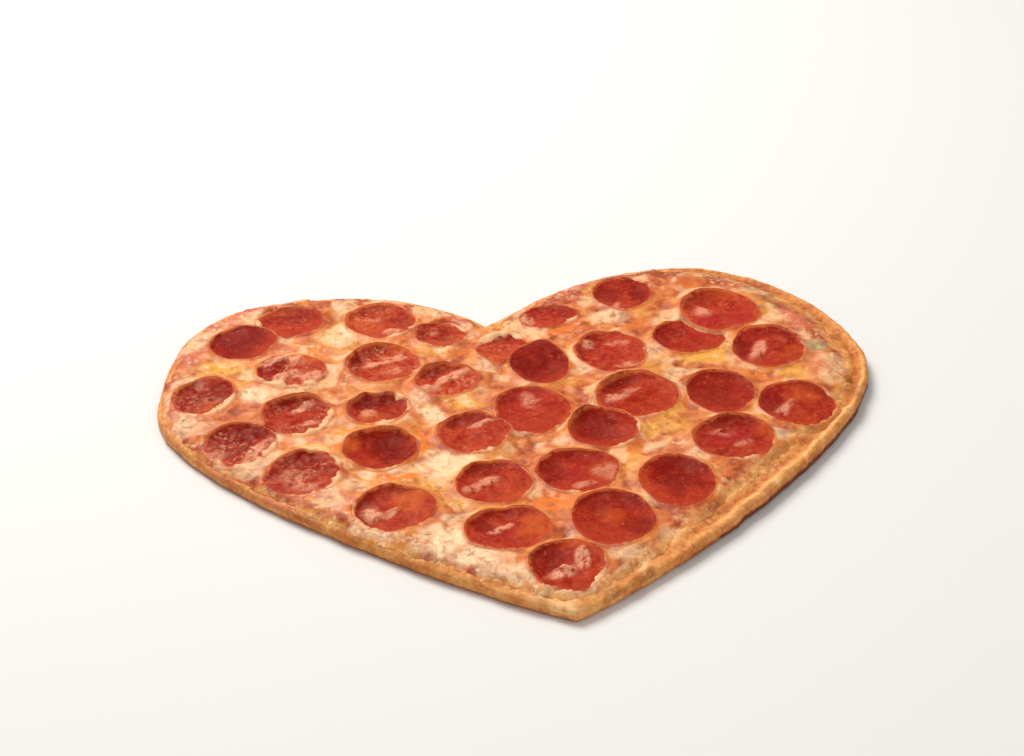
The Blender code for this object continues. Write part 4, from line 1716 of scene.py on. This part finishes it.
@dataclass
class Cheese:
    """The melted cheese sheet, which banks up round the slices and thins out over the crust.

    Attributes:
        form: The cheese's height.
        finish: Its material.
        steps: Grid steps along each side of the sheet.
    """

    form: CheeseForm
    finish: bpy.types.Material
    steps: int = 308

    def plan(self, unit: Array) -> tuple[Array, Array]:
        """Lay the square grid into the heart.

        Args:
            unit: Points of the square slab.

        Returns:
            The points' places across and along.
        """
        a, b = unit[:, 0], unit[:, 1]
        flat = np.abs(a) > np.abs(b)
        radius = np.where(flat, a, b)
        safe_a = np.where(np.abs(a) < 1e-9, 1e-9, a)
        safe_b = np.where(np.abs(b) < 1e-9, 1e-9, b)
        angle = np.where(flat, math.pi / 4.0 * b / safe_a, math.pi / 2.0 - math.pi / 4.0 * a / safe_b)
        angle = np.where(radius < 0.0, angle + math.pi, angle)
        radius = np.abs(radius)
        count = 2400
        around = np.arange(count) / count
        edge = self.form.heart.inward(self.form.heart.points(count), self.form.inset(around))
        share = (angle / math.tau) % 1.0
        middle = np.array(self.form.heart.middle)
        rim_x = np.interp(share, np.append(around, 1.0), np.append(edge[:, 0], edge[0, 0]))
        rim_y = np.interp(share, np.append(around, 1.0), np.append(edge[:, 1], edge[0, 1]))
        return middle[0] + radius * (rim_x - middle[0]), middle[1] + radius * (rim_y - middle[1])

    def build(self) -> bpy.types.Object:
        """Model and dress the cheese.

        Returns:
            The cheese's object.
        """
        piece = Piece("melted_cheese")
        unit = piece.take(square_slab(self.steps))
        foot = unit[:, 2] < -0.5
        x, y = self.plan(unit)
        inside = self.form.inside(x, y)
        height, halo = self.form.height(x, y, inside)
        bottom = self.form.floor - self.form.sunk - 0.3
        piece.shape(np.column_stack([x, y, np.where(foot, bottom, height)]))
        piece.paint_all(self.form.look(x, y, height, halo))
        return piece.dress(self.finish, Slot.CHEESE, "cheese")


@dataclass
class MeltedEdges:
    """The rings of cheese that hold the slices' edges, thin behind and lapping over in front.

    Attributes:
        form: The cheese's height.
        finish: Its material.
        rays: Points round each ring.
        steps: Points round each ring's section.
        gap: Radius between the steps of the unshaped rings.
        arch: Height of the unshaped rings, which tells their outside from their inside.
        clear: How near the crust's edge a ring may come.
    """

    form: CheeseForm
    finish: bpy.types.Material
    rays: int = 96
    steps: int = 10
    gap: float = 0.1
    arch: float = 0.3
    clear: float = 1.2

    def rings(self) -> bmesh.types.BMesh:
        """Make one closed, arched ring for each slice.

        Returns:
            Rings whose numbers are told by their heights, and their steps by radius.
        """
        made = bmesh.new()
        for number in range(len(SLICES)):
            place = Matrix.Translation((0.0, 0.0, float(number)))
            first = bmesh.ops.create_circle(made, segments=self.rays, radius=1.0, matrix=place)["verts"]
            start = list({edge for vert in first for edge in vert.link_edges})
            edges = start
            for step in range(1, self.steps):
                points, edges = grow(made, edges)
                wider = (1.0 + self.gap * step) / (1.0 + self.gap * (step - 1))
                bmesh.ops.scale(made, vec=(wider, wider, 1.0), verts=points)
                before, after = (math.sin(math.pi * n / (self.steps - 1)) for n in (step - 1, step))
                bmesh.ops.translate(made, vec=(0.0, 0.0, self.arch * (after - before)), verts=points)
            bmesh.ops.bridge_loops(made, edges=start + edges)
        bmesh.ops.recalc_face_normals(made, faces=made.faces[:])
        return made

    def section(self, form: SliceShape, step: Array, angle: Array) -> tuple[Array, Array, Array, Array]:
        """Return the place of each point of a ring.

        Args:
            form: The slice that the ring holds.
            step: Number of each point round the ring's section.
            angle: Direction of each point from the slice's middle.

        Returns:
            The places across, along and up, and how far the cheese laps over there.
        """
        lap = form.lap(angle)
        swell = form.grain.around(angle, 3.0, 0.8, 3, -9.0)
        bead = np.clip(0.02 + 0.13 * lap + 0.1 * swell, 0.02, 0.6)
        foot = 1.9 + 0.7 * swell
        offset = np.select([step == n for n in range(self.steps)], [
            -lap, -0.85 * lap, -0.5 * lap, -0.15 * lap, 0.2, 0.35 * foot, 0.68 * foot, foot, 0.5 * foot,
            -np.minimum(lap, 0.9)])
        reach = form.reach(angle) + offset
        x = form.plan.x + reach * np.cos(angle)
        y = form.plan.y + reach * np.sin(angle)
        reach = reach - np.maximum(self.clear - self.form.heart.depth(x, y)[0], 0.0)
        x = form.plan.x + reach * np.cos(angle)
        y = form.plan.y + reach * np.sin(angle)
        top = form.upper(x, y)
        ground = np.minimum(self.form.height(x, y, self.form.inside(x, y))[0], top + 0.5)
        z = np.select([step == n for n in range(self.steps)], [
            top - 0.2, top + 0.45 * bead, top + 0.95 * bead, top + bead, top + 0.75 * bead - 0.1,
            mix(top + 0.3 * bead - 0.3, ground, 0.35), mix(top - 0.6, ground, 0.75), ground - 0.35,
            np.minimum(ground, top) - 1.3, form.underside(x, y) - 0.2])
        return x, y, z, lap

    def build(self) -> bpy.types.Object:
        """Model and dress the rings.

        Returns:
            The object of all the rings.
        """
        piece = Piece("melted_edges")
        unit = piece.take(self.rings())
        number = np.round(unit[:, 2]).astype(int)
        step = np.round((np.hypot(unit[:, 0], unit[:, 1]) - 1.0) / self.gap).astype(int)
        angle = np.arctan2(unit[:, 1], unit[:, 0])
        places, lap = np.zeros((len(unit), 3)), np.zeros(len(unit))
        for form in self.form.slices:
            here = number == form.number - 1
            x, y, z, lap[here] = self.section(form, step[here], angle[here])
            places[here] = np.column_stack([x, y, z])
        self.sink(places, number)
        piece.shape(places)
        self.paint(piece, places, lap, step)
        return piece.dress(self.finish, Slot.CHEESE)

    def sink(self, places: Array, number: Array) -> None:
        """Keep each ring under the other slices that cover it, changing the places.

        Args:
            places: Points of all the rings, which are moved.
            number: Number of each point's ring, from 0.
        """
        x, y = places[:, 0], places[:, 1]
        for form in self.form.slices:
            resting = [upper - 1 for upper, lower in STACKED if lower == form.number]
            close = np.hypot(x - form.plan.x, y - form.plan.y) < 24.0
            near = np.flatnonzero(close & (number != form.number - 1))
            out, _ = form.polar(x[near], y[near])
            covered = out < 1.02
            above = np.isin(number[near], resting)
            under = form.underside(x[near], y[near]) - 0.12
            over = form.upper(x[near], y[near]) - 0.25
            height = places[near, 2]
            moved = [np.maximum(height, over), np.minimum(height, under)]
            places[near, 2] = np.select([covered & above, covered], moved, height)

    def paint(self, piece: Piece, places: Array, lap: Array, step: Array) -> None:
        """Write the numbers that the cheese's material reads, which blend into the cheese's own outwards.

        Args:
            piece: The rings.
            places: Their points.
            lap: How far the cheese laps over at each.
            step: Number of each round its ring's section.
        """
        x, y, z = places.T
        grain = Grain(33)
        lapping = ease(0.8, 3.0, lap)
        thin = 1.0 - lapping
        outer = ease(3.0, 6.5, step)
        own = {
            "tone": 0.15 * lapping + 0.14 * grain.fractal(x, y, 4.0, 3) - 0.16 * thin,
            Tint.ORANGE.value: 0.5 * thin * ease(-0.5, 0.6, grain.fractal(x, y + 40.0, 6.0, 2)),
            Tint.CREAM.value: 0.6 * lapping,
            Tint.BLUSH.value: 0.2 * thin,
            Tint.BROWN.value: 0.5 * ease(0.1, 0.7, grain.fractal(x - 70.0, y, 3.5, 2)),
        }
        for name, values in self.form.look(x, y, z, np.ones(len(x))).items():
            piece.paint(name, mix(own.get(name, 0.6 * values), values, outer))


# Clusters of cheese crumbs: place, spread and how many
CRUMB_CLUSTERS = (
    (27, 50, 7, 16), (46, -5, 6, 14), (-47, 84, 5, 12), (14, -48, 6, 10), (30, -42, 5, 10), (60, 48, 6, 12),
    (25, -93, 9, 22), (-35, -88, 9, 20), (-42, -72, 7, 14), (-138, 78, 10, 26), (-26, 94, 6, 12),
    (64, 24, 5, 10), (-46, 18, 6, 12), (-42, 32, 5, 10), (58, -22, 6, 12), (-66, -60, 9, 16),
    (-90, -38, 10, 22), (-132, -2, 8, 18), (-124, -14, 9, 16), (-110, -28, 8, 16), (45, -84, 8, 16),
    (66, -58, 8, 12), (96, -36, 8, 12), (128, 58, 7, 12), (-141, 25, 6, 12), (10, -3, 5, 8),
    (-104, 103, 7, 12), (-75, 44, 7, 12), (-60, -74, 9, 16), (-12, -112, 9, 16), (50, 78, 7, 10),
    (104, 104, 12, 12), (122, 76, 9, 10), (86, 112, 9, 8), (30, 108, 8, 8), (-20, 84, 6, 8))


@dataclass
class Crumbs:
    """Short shreds of cheese that did not melt flat, joined in one mesh."""

    form: CheeseForm
    finish: bpy.types.Material
    smallest: float = 0.7
    largest: float = 1.9
    share: float = 0.3
    seed: int = 5
    round_points: int = 162

    def build(self) -> bpy.types.Object:
        """Model, scatter and dress the shreds.

        Returns:
            The object of all the shreds.
        """
        dice = np.random.default_rng(self.seed)
        spots = np.concatenate([
            np.column_stack([dice.normal(x, spread * 0.5, int(many * self.share)),
                             dice.normal(y, spread * 0.5, int(many * self.share))])
            for x, y, spread, many in CRUMB_CLUSTERS])
        spots = spots[self.form.inside(spots[:, 0], spots[:, 1]) > 1.5]
        for form in self.form.slices:
            spots = spots[form.polar(spots[:, 0], spots[:, 1])[0] > 1.12]
        count = len(spots)
        made = bmesh.new()
        for _ in range(count):
            bmesh.ops.create_icosphere(made, subdivisions=3, radius=1.0)
        piece = Piece("cheese_shreds")
        unit = piece.take(made).reshape(count, self.round_points, 3)
        size = self.smallest + (self.largest - self.smallest) * dice.random(count) ** 1.5
        long = dice.uniform(0.9, 1.7, count)
        turn = dice.uniform(0.0, math.tau, count)
        bend = dice.uniform(-0.5, 0.5, count)
        phase = dice.uniform(0.0, math.tau, (count, 1, 3))
        lumpy = 0.16 * np.sin(unit[:, :, ::-1] * 3.1 + phase)
        lumpy = lumpy + 0.1 * np.sin(unit[:, :, [1, 2, 0]] * 6.3 + phase)
        bent = unit * (1.0 + lumpy)
        ahead = bent[:, :, 0] * (long * size)[:, None]
        aside = bent[:, :, 1] * (0.8 * size)[:, None] + bend[:, None] * ahead ** 2 / (long * size)[:, None]
        cos, sin = np.cos(turn)[:, None], np.sin(turn)[:, None]
        x = (spots[:, :1] + ahead * cos - aside * sin).ravel()
        y = (spots[:, 1:] + ahead * sin + aside * cos).ravel()
        rest = self.form.height(x, y, self.form.inside(x, y))[0]
        for shape_of in self.form.slices:
            out, _ = shape_of.polar(x, y)
            rest = np.where(out < 1.0, np.maximum(rest, shape_of.upper(x, y)), rest)
        z = rest + ((bent[:, :, 2] * 0.34 - 0.12) * size[:, None]).ravel()
        piece.shape(np.column_stack([x, y, z]))
        each = np.repeat(dice.random(count), self.round_points)
        numbers = self.form.look(x, y, rest, 0.0 * x)
        numbers["tone"] = numbers["tone"] + 0.2 * (each - 0.4)
        numbers[Tint.CREAM.value] = np.maximum(numbers[Tint.CREAM.value], 0.5 * ease(0.75, 0.25, each))
        numbers[Tint.CRUMB.value] = 0.0 * each
        piece.paint_all(numbers)
        return piece.dress(self.finish, Slot.CHEESE)


@dataclass
class Studio:
    """The pale floor, the soft lights and the camera at the photograph's angle.

    Attributes:
        eye: Place of the camera.
        target: The point that it looks at.
        roll: How far it is turned about its line of sight, in degrees.
        lens: Its focal length on a 36 mm sensor.
    """

    eye: tuple[float, float, float] = (-129.6, -850.5, 571.0)
    target: tuple[float, float, float] = (0.0, 51.0, 0.0)
    roll: float = -0.84
    lens: float = 87.9
    sensor: float = 36.0

    def floor(self) -> bpy.types.Object:
        """Lay the floor.

        Returns:
            The floor's object.
        """
        form = bmesh.new()
        bmesh.ops.create_grid(form, x_segments=1, y_segments=1, size=6.0)
        mesh = bpy.data.meshes.new("floor")
        form.to_mesh(mesh)
        form.free()
        mesh.materials.append(FloorFinish().material())
        item = bpy.data.objects.new("floor", mesh)
        bpy.context.scene.collection.objects.link(item)
        return item

    def lamp(
        self, name: str, place: tuple[float, float, float], size: float, power: float, colour: Colour
    ) -> None:
        """Hang a soft square lamp that shines at the pizza.

        Args:
            name: The lamp's name.
            place: Where it hangs, in metres.
            size: Its side, in metres.
            power: Its power in watts.
            colour: Its colour.
        """
        data = bpy.data.lights.new(name, "AREA")
        data.size = size
        data.energy = power
        data.color = colour
        item = bpy.data.objects.new(name, data)
        item.location = place
        item.rotation_euler = (-Vector(place)).to_track_quat("-Z", "Y").to_euler()
        bpy.context.scene.collection.objects.link(item)

    def surroundings(self) -> None:
        """Set an even pale light from all round."""
        world = bpy.data.worlds.new("studio")
        world.use_nodes = True
        sky = world.node_tree.nodes["Background"]
        sky.inputs["Color"].default_value = (1.0, 0.99, 0.97, 1.0)
        sky.inputs["Strength"].default_value = 0.4
        bpy.context.scene.world = world

    def camera(self) -> bpy.types.Object:
        """Place the camera and make it the scene's own.

        Returns:
            The camera.
        """
        data = bpy.data.cameras.new("camera")
        data.lens = self.lens
        data.sensor_width = self.sensor
        data.clip_start = 0.01
        item = bpy.data.objects.new("camera", data)
        eye, target = Vector(self.eye) * MM, Vector(self.target) * MM
        turn = (target - eye).to_track_quat("-Z", "Y").to_matrix().to_4x4()
        item.matrix_world = Matrix.Translation(eye) @ turn @ Matrix.Rotation(math.radians(self.roll), 4, "Z")
        bpy.context.scene.collection.objects.link(item)
        bpy.context.scene.camera = item
        return item

    def build(self) -> None:
        """Set up the studio."""
        self.floor()
        self.lamp("key", (-0.4, 0.72, 1.22), 0.8, 21.0, (1.0, 0.98, 0.95))
        self.lamp("fill", (0.5, -0.9, 0.9), 1.0, 3.0, (1.0, 0.98, 0.96))
        self.surroundings()
        self.camera()
        view = bpy.context.scene.view_settings
        view.view_transform = "Standard"
        view.look = "None"


def main() -> None:
    """Build the pizza and its studio."""
    logging.basicConfig(level=logging.INFO, format="%(name)s: %(message)s")
    heart = Heart()
    Crust(heart).build()
    melted = CheeseFinish().material()
    form = CheeseForm(heart)
    Cheese(form, melted).build()
    MeltedEdges(form, melted).build()
    Crumbs(form, melted).build()
    PepperoniSlices().build()
    Studio().build()


if __name__ == "__main__":
    main()
